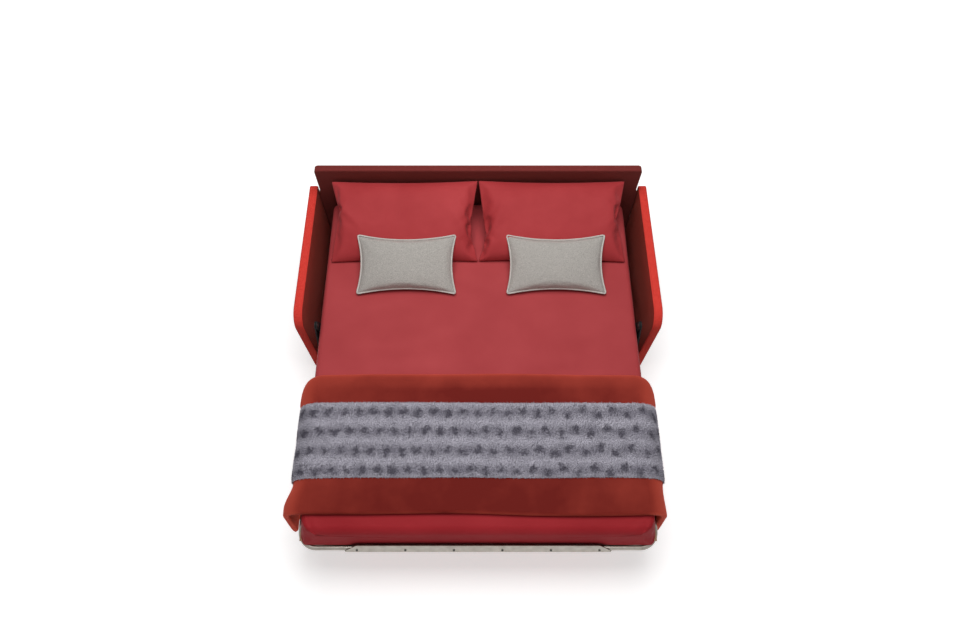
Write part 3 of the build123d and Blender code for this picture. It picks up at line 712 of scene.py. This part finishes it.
# %% Mattress shape
mattress_foot_end = from_head(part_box("mattress_foot")[0][1])
mattress_head_end = from_head(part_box("mattress_head")[1][1])
mattress_joint = (first_fold + second_fold) / 2
top_roll = 0.026
low_roll = 0.012
end_roll = 0.034
low_end_share = 0.2
sheet_step = 0.02
ticking_margin = 0.06
end_steps = 8
sheet_stand = 0.0016
gather_depth = 0.0045
gather_near, gather_far = 0.03, 0.16
gather_count = 26
foot_draw = 0.02
foot_flare = 0.016
foot_draw_start = 1.55
foot_end_run = 0.12
foot_corner = 0.07
foot_lean_in = 0.022
foot_lean_out = 0.014
foot_drop = 0.012
corner_fullness = 0.72
side_rim = (bed_side - 0.03, bed_side - 0.005)
end_rim = (mattress_foot_end - 0.02, mattress_foot_end)
easing = 0.02
underside = bed_bottom + 0.001


def sheet_wave(x, s, z):
    """How far the sheet stands off its smooth shape, in metres."""
    place = Vector((x * 2.1, s * 3.3, z * 4))
    soft = sheet_stand * noise.noise(place)
    corner_reach = hypot(bed_side - abs(x), mattress_foot_end - s)
    gather = 1 - smooth(corner_reach, gather_near, gather_far)
    along = atan2(bed_top - z + easing, bed_side - abs(x) + easing)
    return soft + gather * gather_depth * sin(along * gather_count + 3 * noise.noise(place * 5))


def sheet_pull(x, s, z):
    """Shapes the foot end: rounded corners, drawn in on top and full low down."""
    near = smooth(s, foot_draw_start, mattress_foot_end)
    end = smooth(s, mattress_foot_end - foot_end_run, mattress_foot_end)
    high = min(max((z - bed_bottom) / (bed_top - bed_bottom), 0), 1)
    rim = max(smooth(abs(x), *side_rim), smooth(s, *end_rim))
    side, reach = (1 if x >= 0 else -1), abs(x)
    straight = bed_side - foot_corner
    round_share = min(max((s - (mattress_foot_end - foot_corner)) / foot_corner, 0), 1)
    if reach > straight:
        full = corner_fullness * (1 - high) ** 2
        reach = straight + (reach - straight) * (full + (1 - full) * sqrt(1 - round_share**2))
    reach *= 1 + near * (foot_flare * (1 - high) ** 2 - foot_draw * high) / bed_side
    place = s + end * (foot_lean_out - (foot_lean_out + foot_lean_in) * high)
    return side * reach, place, z - foot_drop * near * rim * (1 - high) ** 4


def mattress_rings():
    """Rings across the bed from the head end to the foot end, with their places."""
    radii = (low_roll, low_roll, top_roll, top_roll)
    outline = rounded_box((-bed_side, bed_bottom), (bed_side, bed_top), radii, sheet_step)
    normals = outline_normals(outline)
    turns = [index / end_steps * pi / 2 for index in range(end_steps + 1)]
    stations = [
        (mattress_head_end + end_roll * (1 - cos(turn)), end_roll * (1 - sin(turn)))
        for turn in turns
    ]
    start, end = mattress_head_end + end_roll, mattress_foot_end - end_roll
    for low, high in ((start, mattress_joint), (mattress_joint, end)):
        count = round((high - low) / sheet_step)
        stations += [(low + (high - low) * k / count, 0) for k in range(1, count + 1)]
    stations += [(end + end_roll * sin(turn), end_roll * (1 - cos(turn))) for turn in turns[1:]]
    rings = []
    for s, inset in stations:
        ring = []
        for point, normal in zip(outline, normals):
            low_end = s > mattress_joint and point.y < bed_bottom + end_roll
            flat = point - normal * (inset * low_end_share if low_end else inset)
            lift = sheet_wave(flat.x, s, flat.y) if flat.y > bed_bottom + low_roll else 0
            x, place, z = sheet_pull(flat.x + normal.x * lift, s, flat.y + normal.y * lift)
            ring.append(Vector((x, y_at(place), z)))
        rings.append(ring)
    return rings, [s for s, inset in stations]


rings, places = mattress_rings()
joint_row = min(range(len(places)), key=lambda row: abs(places[row] - mattress_joint))


def mattress_half(name, finish, half_rings, node_names):
    """One half of the mattress, bending between two bodies."""
    half = skin(name, half_rings)
    dress(half, finish, "sheet_red", None, *node_names)
    half.data.materials.append(ticking.material)
    for face in half.data.polygons:
        inside = abs(face.center.x) < bed_side - ticking_margin
        face.material_index = 1 if inside and face.center.z < underside else 0
    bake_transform(half)


mattress_half(
    "mattress_head_half",
    cotton,
    rings[: joint_row + 1],
    ("mattress_head",),
)
# The foot half wears the darker sheet: painted shade.
mattress_half(
    "mattress_foot_half",
    cotton_painted_shade,
    rings[joint_row:],
    ("mattress_mid", "mattress_foot"),
)
print("mattress rings", len(rings), "points in each", len(rings[0]))

# %% [markdown]
# ## Quilt
# The quilt is a soft velvet bedspread with a fat rolled edge at the head. It lies
# flat on the bed, rolls over the sides and hangs, flaring at the foot. Its
# cross-section is one path from hem to hem, walked by its length, so the throw
# can lie on the same path.

# %% Velvet finish
painted_sheen_contrast = 0.42

velvet = Finish("quilt_velvet", 0.75)
# Painted sheen: the colour goes from the dark top to orange where the quilt turns down, led by each point's slope
# stored on the mesh.
leaning = velvet.math("POWER", velvet.attribute("nap_lean", "Fac"), painted_sheen_contrast)
leaning = velvet.math("ADD", leaning, velvet.wander(7, 4, 0.3))
velvet.colour(leaning, (106, 24, 18), (212, 86, 68), ends=(0.02, 0.9))
velvet.sheen(0.3, 0.3, (255, 92, 50))
velvet.grain(12, 3, 0.006, 0.25)
velvet.grain(1400, 2, 0.0003, 0.5)

# %% Quilt path
mid_low, mid_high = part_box("quilt_mid")
foot_low, foot_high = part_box("quilt_foot")
quilt_start = from_head(mid_high[1])
quilt_end = from_head(foot_low[1])
quilt_side = mid_high[0]
quilt_flared = foot_high[0]
quilt_top = mid_high[2]
quilt_thickness = quilt_top - bed_top
quilt_hem_mid = mid_low[2]
quilt_hem_foot = foot_low[2]
shoulder = 0.1
quilt_fullness = -0.005
head_fullness = 0.013
head_run = (1.1, 1.2)
flare_trim = 0.02
flare_run = (1.56, 1.67)
foot_shift = -0.015
shift_run = (1.54, 1.67)
hem_run = (second_fold - 0.08, second_fold + 0.1)
side_run = (0.78, 1.0)
top_fold = 0.0022
side_fold = 0.007


def quilt_half_width(s):
    """Outer half-width at a distance from the head."""
    narrow = quilt_side + quilt_fullness + head_fullness * (1 - smooth(s, *head_run))
    return narrow + (quilt_flared - flare_trim - narrow) * smooth(s, *flare_run)


def quilt_hem(s):
    """Height of the hem at a distance from the head."""
    return quilt_hem_mid + (quilt_hem_foot - quilt_hem_mid) * smooth(s, *hem_run)


def quilt_reach(s):
    """Length of the outer path from the middle of the bed to the hem."""
    return quilt_half_width(s) - shoulder + shoulder * pi / 2 + quilt_top - shoulder - quilt_hem(s)


def quilt_outer(walk, s):
    """Outer point and its outward direction, walk metres across from the middle."""
    side = 1 if walk >= 0 else -1
    walk = abs(walk)
    flat = quilt_half_width(s) - shoulder
    arc = shoulder * pi / 2
    if walk <= flat:
        x, z, out_x, out_z = walk, quilt_top, 0, 1
    elif walk <= flat + arc:
        turn = (walk - flat) / shoulder
        x, z = flat + shoulder * sin(turn), quilt_top - shoulder + shoulder * cos(turn)
        out_x, out_z = sin(turn), cos(turn)
    else:
        x, z, out_x, out_z = flat + shoulder, quilt_top - shoulder - (walk - flat - arc), 1, 0
    shift = foot_shift * smooth(s, *shift_run)
    return Vector((side * x + shift, 0, z)), Vector((side * out_x, 0, out_z))


def quilt_wave(walk, s):
    """Soft folds: almost none on top, longer ones down the sides."""
    on_side = smooth(abs(walk), *side_run)
    top = top_fold * noise.noise(Vector((walk * 1.6, s * 4.5, 3.7)))
    drop = side_fold * noise.noise(Vector((walk * 1.2, s * 9, 8.1)))
    return top * (1 - on_side) + drop * on_side


# %% Quilt skin
quilt_step = 0.014
quilt_columns = 150
head_roll = 0.045
foot_roll = 0.012
thin_share = 0.002
head_corner = 0.085
head_arch = 0.008
hem_swing = 0.028
edge_stray = 0.006
edge_run = 0.24
sway_pace, sway_start = 3.4, 0.6
corner_start = 0.03
arch_side = 0.8
straight_edge = 0.02
head_spots = [0, 0.0015, 0.005, 0.01, 0.016]
foot_spots = (0.012, 0.007, 0.003, 0.0008, 0)


def quilt_edge_wander(walk, end, s):
    """How far the head or foot edge of the quilt strays along the bed."""
    flat = quilt_half_width(s) - shoulder
    stray = edge_stray * noise.noise(Vector((walk * 1.9, end * 7.0, 1.3)))
    if end:
        down = smooth(abs(walk), flat + shoulder, quilt_reach(s))
        sway = edge_stray * sin(walk * sway_pace - sway_start)
        return stray + sway * (1 - down) + hem_swing * down
    over = min(max((abs(walk) - flat + corner_start) / (shoulder * pi / 2), 0), 1)
    arch = head_arch * (1 - min(abs(walk) / arch_side, 1) ** 2)
    return stray - arch + head_corner * (1 - sqrt(1 - over**2))


def edge_share(distance, roll):
    """Share of full thickness near a rolled edge."""
    inside = min(max(distance / roll, 0), 1)
    return sqrt(max(1 - (1 - inside) ** 2, thin_share))


def quilt_skin():
    """The quilt as rings across the bed: out along the top, back underneath."""
    length = quilt_end - quilt_start
    straight = length - 2 * straight_edge
    count = round(straight / quilt_step)
    spots = head_spots + [straight_edge + straight * k / count for k in range(count + 1)]
    spots += [length - spot for spot in foot_spots]
    rings = []
    for spot in spots:
        s = quilt_start + spot
        reach = quilt_reach(s)
        full = min(edge_share(spot, head_roll), edge_share(length - spot, foot_roll))
        end = 0 if spot < length / 2 else 1
        fade = 1 - smooth(length - spot if end else spot, 0, edge_run)
        ring = []
        for k in range(quilt_columns + 1):
            walk = reach * (2 * k / quilt_columns - 1)
            point, out = quilt_outer(walk, s)
            half = quilt_thickness / 2 * full * edge_share(reach - abs(walk), foot_roll)
            centre = point - out * (quilt_thickness / 2 - quilt_wave(walk, s))
            y = y_at(s + quilt_edge_wander(walk, end, s) * fade)
            ring.append((centre, out, half, y))
        rings.append(cloth_ring(ring))
    return cloth_skin("quilt", rings)


quilt = quilt_skin()

# %% Quilt painted sheen
side_painted_sheen = 0.03
head_painted_highlight = 0.02
head_painted_highlight_run = (0.03, 0.08)
head_turn = 0.1
crosswise = 3

# Painted sheen for the velvet: a point that faces sideways gets a lighter, more orange colour. Past the head roll
# only sideways faces count, so the foot roll stays dark. A band along the head roll is a painted highlight, and
# the colour also lightens towards the sides.
nap_lean = quilt.data.attributes.new("nap_lean", "FLOAT", "POINT")
for vertex, sheen_value in zip(quilt.data.vertices, nap_lean.data):
    tilt = 1 - max(vertex.normal.z, 0)
    into = from_head(vertex.co.y) - quilt_start
    if into > head_turn:
        tilt *= min(abs(vertex.normal.x) * crosswise, 1)
    tilt += head_painted_highlight * (1 - smooth(into, *head_painted_highlight_run))
    sheen_value.value = tilt + side_painted_sheen * (abs(vertex.co.x) / quilt_side) ** 4
dress(quilt, velvet, "quilt_rust", None, "quilt_mid", "quilt_foot")
print("quilt cut", round(2 * quilt_reach(quilt_end), 3), round(quilt_end - quilt_start, 3))

# %% [markdown]
# ## Throw
# The throw is short plush with rows of darker tufts. Its backing follows the
# quilt's path a little further out. The pile is thousands of small blades, set
# by Geometry Nodes on the backing and leaning at random, and each blade carries
# its place on the cloth, so the tufts' colour can be worked out there.

# %% Plush finish
tuft_pitch = 0.07
row_pitch = 0.092
row_start = 0.047
spot_radius = 0.027
edge_wander = 0.05
zigzag_start = 0.45
zigzag_growth = 0.012
dark_ends = {"From Min": 0.05, "From Max": 0.75}

plush = Finish("throw_plush", 0.9)
plush.place = plush.attribute("cloth_place", "Vector")
along, across, _ = plush.made("SeparateXYZ", {0: plush.place}).outputs
wander_x, wander_y = plush.wander(28, 3, edge_wander), plush.wander(37, 3, edge_wander)
row_place = plush.math("DIVIDE", plush.math("SUBTRACT", across, row_start), row_pitch)
row_index = plush.math("ROUND", row_place)
row_off = plush.math("MULTIPLY", plush.math("SUBTRACT", row_place, row_index), row_pitch)
half_step = plush.math("MULTIPLY", row_index, 0.5)
shifted = plush.math("ADD", plush.math("DIVIDE", along, tuft_pitch), half_step)
tuft_index = plush.math("ROUND", shifted)
tuft_off = plush.math("MULTIPLY", plush.math("SUBTRACT", shifted, tuft_index), tuft_pitch)
turn_about = plush.math("MULTIPLY", plush.math("PINGPONG", tuft_index, 1), 2)
growing = plush.math("MULTIPLY", plush.math("ADD", along, zigzag_start), zigzag_growth)
zigzag = plush.math("MULTIPLY", plush.math("SUBTRACT", turn_about, 1), growing)
off_x = plush.math("ADD", tuft_off, wander_x)
off_y = plush.math("ADD", plush.math("ADD", row_off, zigzag), wander_y)
squares = plush.math("ADD", plush.math("POWER", off_x, 2), plush.math("POWER", off_y, 2))
from_tuft = plush.math("DIVIDE", plush.math("SQRT", squares), spot_radius)
spot = plush.math("SUBTRACT", 1, from_tuft)
for blotch in (plush.wander(90, 3, 1.6), plush.wander(6, 2, 1.0)):
    spot = plush.math("ADD", spot, blotch)
from_row = plush.math("ABSOLUTE", plush.math("ADD", row_off, wander_y))
silk = plush.math("MULTIPLY", plush.noise(14, 4), 0.6)
silk = plush.math("ADD", silk, plush.math("DIVIDE", from_row, row_pitch))
ground = plush.tones(silk, (134, 131, 142), (182, 179, 189), ends=(0.25, 0.8))
dark_share = plush.made("MapRange", {"Value": spot, **dark_ends}).outputs[0]
mix = plush.made("Mix", {0: dark_share}, data_type="RGBA")
first, second = (socket for socket in mix.inputs if socket.type == "RGBA")
plush.tree.links.new(ground, first)
second.default_value = (*linear((93, 90, 101)), 1)
feed(plush.shader, {"Base Color": mix.outputs[2]})
plush.sheen(0.4, 0.4, (235, 232, 245))

# %% Throw backing
throw_low, throw_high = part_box("throw_blanket")
throw_start = from_head(throw_high[1])
throw_end = from_head(throw_low[1])
throw_hem = throw_low[2]
throw_thickness = 0.005
throw_gap = 0.0012
throw_lift = throw_gap + throw_thickness / 2
throw_step = 0.012
throw_columns = 170
edge_thickness = (0.25, 0.75, 1)


def throw_reach(s):
    """Length of the throw's path from the middle of the bed to its hem."""
    return quilt_reach(s) - (throw_hem - quilt_hem(s))


def throw_skin():
    """The backing, with each point's place on the flat cloth kept as an attribute."""
    length = throw_end - throw_start
    rows = round(length / throw_step)
    rings, flat = [], []
    for row in range(rows + 1):
        s = throw_start + length * row / rows
        ring, places = [], []
        for k in range(throw_columns + 1):
            walk = throw_reach(s) * (2 * k / throw_columns - 1)
            stray = edge_stray * noise.noise(Vector((walk * 2.3, s * 2, 5.5)))
            rim = min(row, rows - row, k, throw_columns - k)
            half = throw_thickness / 2 * edge_thickness[min(rim, 2)]
            point, out = quilt_outer(walk, s)
            centre = point + out * (quilt_wave(walk, s) + throw_lift)
            ring.append((centre, out, half, y_at(s + stray)))
            places.append((walk, s - throw_start, 0))
        rings.append(cloth_ring(ring))
        flat += places + places[-2:0:-1]
    backing = cloth_skin("throw_backing", rings)
    attribute = backing.data.attributes.new("cloth_place", "FLOAT_VECTOR", "POINT")
    attribute.data.foreach_set("vector", [value for place in flat for value in place])
    return backing


throw = throw_skin()

# %% Pile tree
pile_group, pile_in = group_with_inputs(
    "plush_pile",
    {
        "Density": "Float",
        "Length": "Float",
        "Width": "Float",
        "Lean": "Float",
        "Seed": "Int",
        "Pile": "Material",
    },
)
scattering = {"Mesh": pile_in["Geometry"], "Density": pile_in["Density"], "Seed": pile_in["Seed"]}
spread = add_node(pile_group, "GeometryNodeDistributePointsOnFaces", scattering)
taper = {"Vertices": 3, "Side Segments": 1, "Radius Top": 0, "Radius Bottom": 0.5, "Depth": 1.0}
blade = add_node(pile_group, "GeometryNodeMeshCone", taper, fill_type="NONE")
opposite = {0: pile_in["Lean"], 1: -1}
back = add_node(pile_group, "ShaderNodeMath", opposite, operation="MULTIPLY").outputs[0]
low_lean, high_lean = (
    add_node(pile_group, "ShaderNodeCombineXYZ", {"X": end, "Y": end}).outputs[0]
    for end in (back, pile_in["Lean"])
)
leans = {0: low_lean, 1: high_lean}
lean = add_node(pile_group, "FunctionNodeRandomValue", leans, data_type="FLOAT_VECTOR")
lean = add_node(pile_group, "FunctionNodeEulerToRotation", {0: lean.outputs[0]}).outputs[0]
turns = {"Rotation": spread.outputs["Rotation"], "Rotate By": lean}
tilt = add_node(pile_group, "FunctionNodeRotateRotation", turns, rotation_space="LOCAL")
tall = add_node(pile_group, "FunctionNodeRandomValue", {2: 0.65, 3: 1.2}).outputs[1]
heights = {0: pile_in["Length"], 1: tall}
height = add_node(pile_group, "ShaderNodeMath", heights, operation="MULTIPLY").outputs[0]
planted(
    pile_group,
    spread.outputs["Points"],
    blade.outputs["Mesh"],
    tilt.outputs[0],
    (pile_in["Width"], pile_in["Width"], height),
    pile_in["Pile"],
)

# %% Grow the pile
pile_count = 60000
facing_up, facing_side, facing_end = 0.3, 0.1, 0.3
pile = {"Length": 0.007, "Width": 0.003, "Lean": 0.45, "Seed": 4, "Pile": plush.material}

throw_length = 2 * throw_reach(throw_start)
throw_width = throw_end - throw_start
outer_faces = [
    tuple(face.vertices)
    for face in throw.data.polygons
    if face.normal.z > facing_up
    or face.normal.x * face.center.x > facing_side
    or abs(face.normal.y) > facing_end
]
points = [vertex.co.copy() for vertex in throw.data.vertices]
nap = mesh_piece("throw_pile", points, outer_faces, outward=False)
places = nap.data.attributes.new("cloth_place", "FLOAT_VECTOR", "POINT")
values = [0.0] * (3 * len(points))
throw.data.attributes["cloth_place"].data.foreach_get("vector", values)
places.data.foreach_set("vector", values)
density = pile_count / (throw_length * throw_width)
nap.data = grown(nap, pile_group, {"Density": density, **pile})
dress(throw, plush, "throw_grey", None, "throw_blanket")
dress(nap, plush, "throw_grey", None)
for piece in (quilt, throw, nap):
    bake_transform(piece)
print("throw cut", round(throw_length, 3), round(throw_width, 3))

# %% [markdown]
# ## Pillows and cushions
# A pillow is a flat bag of cloth that filling blows up, and its look comes from
# that: the sides draw in between the corners and small creases run in from the
# seams. So each bag is a real cloth simulation with pressure inside and no
# gravity, and the result is laid against the back panel.


# %% The bag and its filling
def cloth_bag(name, length, width, step, start_height):
    """A closed flat bag in the XY plane. Returns the piece and its rim's indices."""
    columns, rows = round(length / step), round(width / step)
    points, index_of, faces = [], {}, []
    for layer in (1, -1):
        for row in range(rows + 1):
            for column in range(columns + 1):
                on_rim = row in (0, rows) or column in (0, columns)
                if on_rim and layer < 0:
                    index_of[layer, row, column] = index_of[1, row, column]
                    continue
                u, v = 2 * column / columns - 1, 2 * row / rows - 1
                rise = start_height * (1 - u**4) * (1 - v**4)
                index_of[layer, row, column] = len(points)
                points.append(Vector((u * length / 2, v * width / 2, layer * rise)))
        for row in range(rows):
            for column in range(columns):
                ring = [(row, column), (row, column + 1), (row + 1, column + 1), (row + 1, column)]
                corners = [index_of[layer, r, c] for r, c in ring]
                faces.append(tuple(corners if layer > 0 else reversed(corners)))
    rim = [(0, c) for c in range(columns)] + [(r, columns) for r in range(rows)]
    rim += [(rows, c) for c in range(columns, 0, -1)] + [(r, 0) for r in range(rows, 0, -1)]
    return mesh_piece(name, points, faces), [index_of[1, r, c] for r, c in rim]


filling_frames = 32
filling_edge = 0.02
filling = {
    "quality": 5,
    "mass": 0.15,
    "tension_stiffness": 40,
    "compression_stiffness": 40,
    "bending_stiffness": 0.15,
    "use_pressure": True,
    "use_pressure_volume": True,
    "air_damping": 10,
}
flat_share = 0.3
rough_start = 0.0015
upper_clear, lower_clear = 0.007, 0.002


def blow_up(piece, volume, pressure, flange):
    """Fills a bag, all but a flange at its ends, by cloth simulation."""
    filled = piece.vertex_groups.new(name="filled")
    end = max(vertex.co.x for vertex in piece.data.vertices)
    for vertex in piece.data.vertices:
        share = smooth(end - abs(vertex.co.x), flange, flange + filling_edge)
        filled.add([vertex.index], share, "REPLACE")
    cloth = piece.modifiers.new("filling", "CLOTH")
    for setting, value in filling.items():
        setattr(cloth.settings, setting, value)
    cloth.settings.vertex_group_pressure = filled.name
    cloth.settings.target_volume = volume
    cloth.settings.pressure_factor = pressure
    cloth.settings.effector_weights.gravity = 0
    cloth.point_cache.frame_start = 1
    cloth.point_cache.frame_end = filling_frames
    for frame_number in range(1, filling_frames + 1):
        scene.frame_set(frame_number)
    graph = bpy.context.evaluated_depsgraph_get()
    shape = piece.evaluated_get(graph).to_mesh()
    points = [vertex.co.copy() for vertex in shape.vertices]
    piece.evaluated_get(graph).to_mesh_clear()
    piece.modifiers.remove(cloth)
    piece.vertex_groups.remove(filled)
    scene.frame_set(1)
    return points


def settled(point, clear):
    """Keeps a point above the sheet and in front of the back panel."""
    return Vector((point.x, min(point.y, head_face - clear), max(point.z, bed_top + clear)))


def box_middle(node):
    """Middle of a node's box."""
    low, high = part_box(node)
    return Vector([(a + b) / 2 for a, b in zip(low, high)])


def lay_cushion(
    name, centre, seed, length, width, thickness, half_height, step, lean, pressure, flange, draw
):
    """A filled bag leaning back on the bed. Returns the piece and its rim points."""
    piece, rim = cloth_bag(name, length, width, step, half_height * flat_share)
    on_top = [vertex.co.z > 0 for vertex in piece.data.vertices]
    for vertex in piece.data.vertices:
        vertex.co.z += rough_start * noise.noise(vertex.co * 14 + Vector((seed, 0, 0)))
    points = blow_up(piece, length * width * thickness, pressure, flange)
    tallest = max(abs(point.z) for point in points)
    print(name, "filled to", round(tallest, 3), "laid at", half_height)
    turn = Matrix.Rotation(lean, 4, "X")
    for vertex, point, upper in zip(piece.data.vertices, points, on_top):
        u, v = point.x * 2 / length, point.y * 2 / width
        x = point.x - draw * u * max(1 - v * v, 0)
        y = point.y - draw * v * max(1 - u * u, 0)
        point = Vector((x, y, point.z * half_height / tallest))
        vertex.co = settled(turn @ point + centre, upper_clear if upper else lower_clear)
    return piece, [piece.data.vertices[index].co.copy() for index in rim]


# %% Pillow finish
pillow_cotton = Finish("pillowcase_cotton", 0.6)
pillow_cotton.mottle(4, 3, (160, 50, 53), (174, 60, 63))
pillow_cotton.sheen(0.08, 0.4, (255, 190, 190))
pillow_cotton.grain(16, 3, 0.006, 0.3)
pillow_cotton.weave(**cotton_weave)

# %% Pillows
pillow_sizes = {
    "length": 0.785,
    "width": 0.46,
    "thickness": 0.075,
    "half_height": 0.07,
    "step": 0.013,
    "lean": radians(25),
    "pressure": 1.5,
    "flange": 0.03,
    "draw": 0.008,
}

for node, seed in (("pillow_left", 3.0), ("pillow_right", 11.0)):
    pillow = lay_cushion(f"{node}_in_case", box_middle(node), seed, **pillow_sizes)[0]
    soften(pillow)
    dress(pillow, pillow_cotton, "sheet_red", "pillow_set", node)

# %% [markdown]
# ## Piped cushions
# The two small cushions are stiffer and fuller, in a fine grey weave. A cord in
# a paler tape is sewn into their seam: a tube swept round the rim of the bag.

# %% Cushion finishes
linen = Finish("cushion_linen", 0.85)
linen.mottle(300, 3, (148, 144, 139), (198, 193, 187))
linen.sheen(0.1, 0.5, (255, 255, 255))
linen.weave(0.0018, 0.0005, 0.8)
linen.grain(20, 2, 0.003, 0.2)

tape = Finish("piping_tape", 0.8)
tape.mottle(300, 3, (184, 178, 172), (208, 203, 197))
tape.weave(0.0011, 0.0003, 0.7)

# %% Small cushions
accent_sizes = {
    "length": 0.515,
    "width": 0.312,
    "thickness": 0.06,
    "half_height": 0.058,
    "step": 0.0105,
    "lean": radians(20),
    "pressure": 1.2,
    "flange": -0.05,
    "draw": 0.022,
}
accent_nudge = Vector((0, 0.02, 0.004))
piping_radius = 0.0045
piping_sides = 8
easing_rounds = 2


def tube_along(name, path_points):
    """A closed tube round a closed path of points."""
    count = len(path_points)
    rings = []
    for k, point in enumerate(path_points):
        along = (path_points[(k + 1) % count] - path_points[k - 1]).normalized()
        across = along.cross(Vector((0, 0, 1))).normalized()
        up = across.cross(along)
        turns = [2 * pi * index / piping_sides for index in range(piping_sides)]
        rings.append([point + piping_radius * (across * cos(t) + up * sin(t)) for t in turns])
    return skin(name, rings, loop=True)


def evened(path_points):
    """A closed path with its corners eased by averaging neighbours."""
    count = len(path_points)
    for _ in range(easing_rounds):
        path_points = [
            here / 2 + (path_points[k - 1] + path_points[(k + 1) % count]) / 4
            for k, here in enumerate(path_points)
        ]
    return path_points


for node, seed in (("accent_cushion_left", 21.0), ("accent_cushion_right", 37.0)):
    centre = box_middle(node) + accent_nudge
    cushion, rim = lay_cushion(f"{node}_cover", centre, seed, **accent_sizes)
    soften(cushion)
    dress(cushion, linen, "cushion_grey", "pillow_set", node)
    rim_path = [point + Vector((0, 0, piping_radius)) for point in evened(rim)]
    dress(tube_along(f"{node}_piping", rim_path), tape, "cushion_grey", "pillow_set")

# %% [markdown]
# ## Seat and back cushions
# While the bed is open, the sofa's own cushions hang below the slats, and they
# come to the top when it closes. They are box cushions in the same wool, crowned
# on the sitting side and sewn round both edges.

# %% Sofa cushions
cushion_edge = 0.03
cushion_step = 0.03
cushion_corner = 0.045
cushion_crown = 0.022
cushion_draw = 0.008
side_band = 0.98


def drawn_in(off, half, share):
    """How far a side point moves in: most at the middle of its side."""
    if abs(off) <= side_band * half:
        return 0
    return cushion_draw * (1 - share**2) * (1 if off > 0 else -1)


def sofa_cushion(node, body):
    """A crowned box cushion in its node's box, with sides drawn in. Returns its seams."""
    low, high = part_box(node)
    radii = [cushion_corner] * 4
    outline = rounded_box((low[0], low[1]), (high[0], high[1]), radii, cushion_step)
    middle = Vector(((low[0] + high[0]) / 2, (low[1] + high[1]) / 2))
    half = Vector(((high[0] - low[0]) / 2, (high[1] - low[1]) / 2))
    for k, point in enumerate(outline):
        off = point - middle
        draw_x = drawn_in(off.x, half.x, off.y / half.y)
        draw_y = drawn_in(off.y, half.y, off.x / half.x)
        outline[k] = Vector((point.x - draw_x, point.y - draw_y))
    thickness = high[2] - low[2] - cushion_crown

    def place(across, up, through):
        share_x, share_y = (across - middle.x) / half.x, (up - middle.y) / half.y
        swell = cushion_crown * (1 - min(share_x**2, 1)) * (1 - min(share_y**2, 1))
        z = high[2] - thickness / 2 + through
        return (across, up, z - (swell if through < 0 else 0))

    piece = padded_panel(f"{node}_cover", outline, place, thickness, cushion_edge, 0)
    dress(piece, wool, "upholstery_red", body, node)
    levels = [through * (thickness / 2 - cushion_edge) for through in (-1, 1)]
    return [[Vector(place(point.x, point.y, level)) for point in outline] for level in levels]


for body, kind in (("mid_section", "seat_cushion"), ("foot_section", "back_cushion")):
    seams = [seam for side in ("left", "right") for seam in sofa_cushion(f"{kind}_{side}", body)]
    stitched(f"{kind}_stitches", seams, body)

# %% [markdown]
# ## Metal, wood and plastic
# The nodes that the model already shapes well keep their shape and get a
# finish each: bright plated tube at the foot and legs, black powder coat on the
# mechanism, black zinc on the pins, lacquered beech slats, plywood, and moulded
# black.

# %% Hard finishes
bright = Finish("bright_tube", 0.3, metallic=1.0)
bright.mottle(30, 3, (142, 136, 128), (164, 158, 150))
bright.rough(90, 4, 0.24, 0.36)
bright.grain(700, 2, 0.0001, 0.15, stretch=(0.2, 1, 1))

powder = Finish("black_powder_coat", 0.6)
feed(powder.shader, {"Specular IOR Level": 0.2})
powder.mottle(40, 3, (20, 19, 20), (30, 29, 30))
powder.grain(1300, 2, 0.0002, 0.5)

zinc = Finish("black_zinc_plate", 0.35, metallic=1.0)
zinc.mottle(220, 3, (66, 65, 62), (84, 83, 79))
zinc.rough(300, 3, 0.28, 0.45)

beech = Finish("lacquered_beech", 0.38)
beech.mottle(60, 6, (132, 94, 62), (164, 124, 86), ends=(0.25, 0.75), stretch=(0.06, 1.2, 3))
beech.grain(260, 4, 0.0003, 0.35, stretch=(0.04, 1, 2))

ply = Finish("raw_plywood", 0.65)
ply.mottle(26, 6, (178, 140, 96), (208, 174, 128), ends=(0.25, 0.75), stretch=(0.25, 1.6, 1.6))
ply.grain(180, 4, 0.0004, 0.4, stretch=(0.1, 1, 1))

moulded = Finish("moulded_plastic", 0.5)
moulded.mottle(80, 2, (24, 24, 25), (33, 33, 34))
moulded.grain(1600, 2, 0.00015, 0.5)

rubber = Finish("foot_rubber", 0.75)
rubber.mottle(120, 3, (22, 22, 23), (34, 34, 35))
rubber.grain(900, 3, 0.0003, 0.5)

finish_of_slot = {
    "steel_bright": bright,
    "steel_black": powder,
    "zinc": zinc,
    "beech": beech,
    "plywood": ply,
    "plastic_black": moulded,
    "rubber": rubber,
}

# %% Give each hard node its finish
for entry in frame["record"]["subparts"]:
    finish = finish_of_slot.get(entry["material_slot"])
    if finish is None:
        continue
    node = frame["nodes"][entry["node"]]
    if not node.material_slots:
        node.data.materials.append(finish.material)
    for material_slot in node.material_slots:
        material_slot.material = finish.material
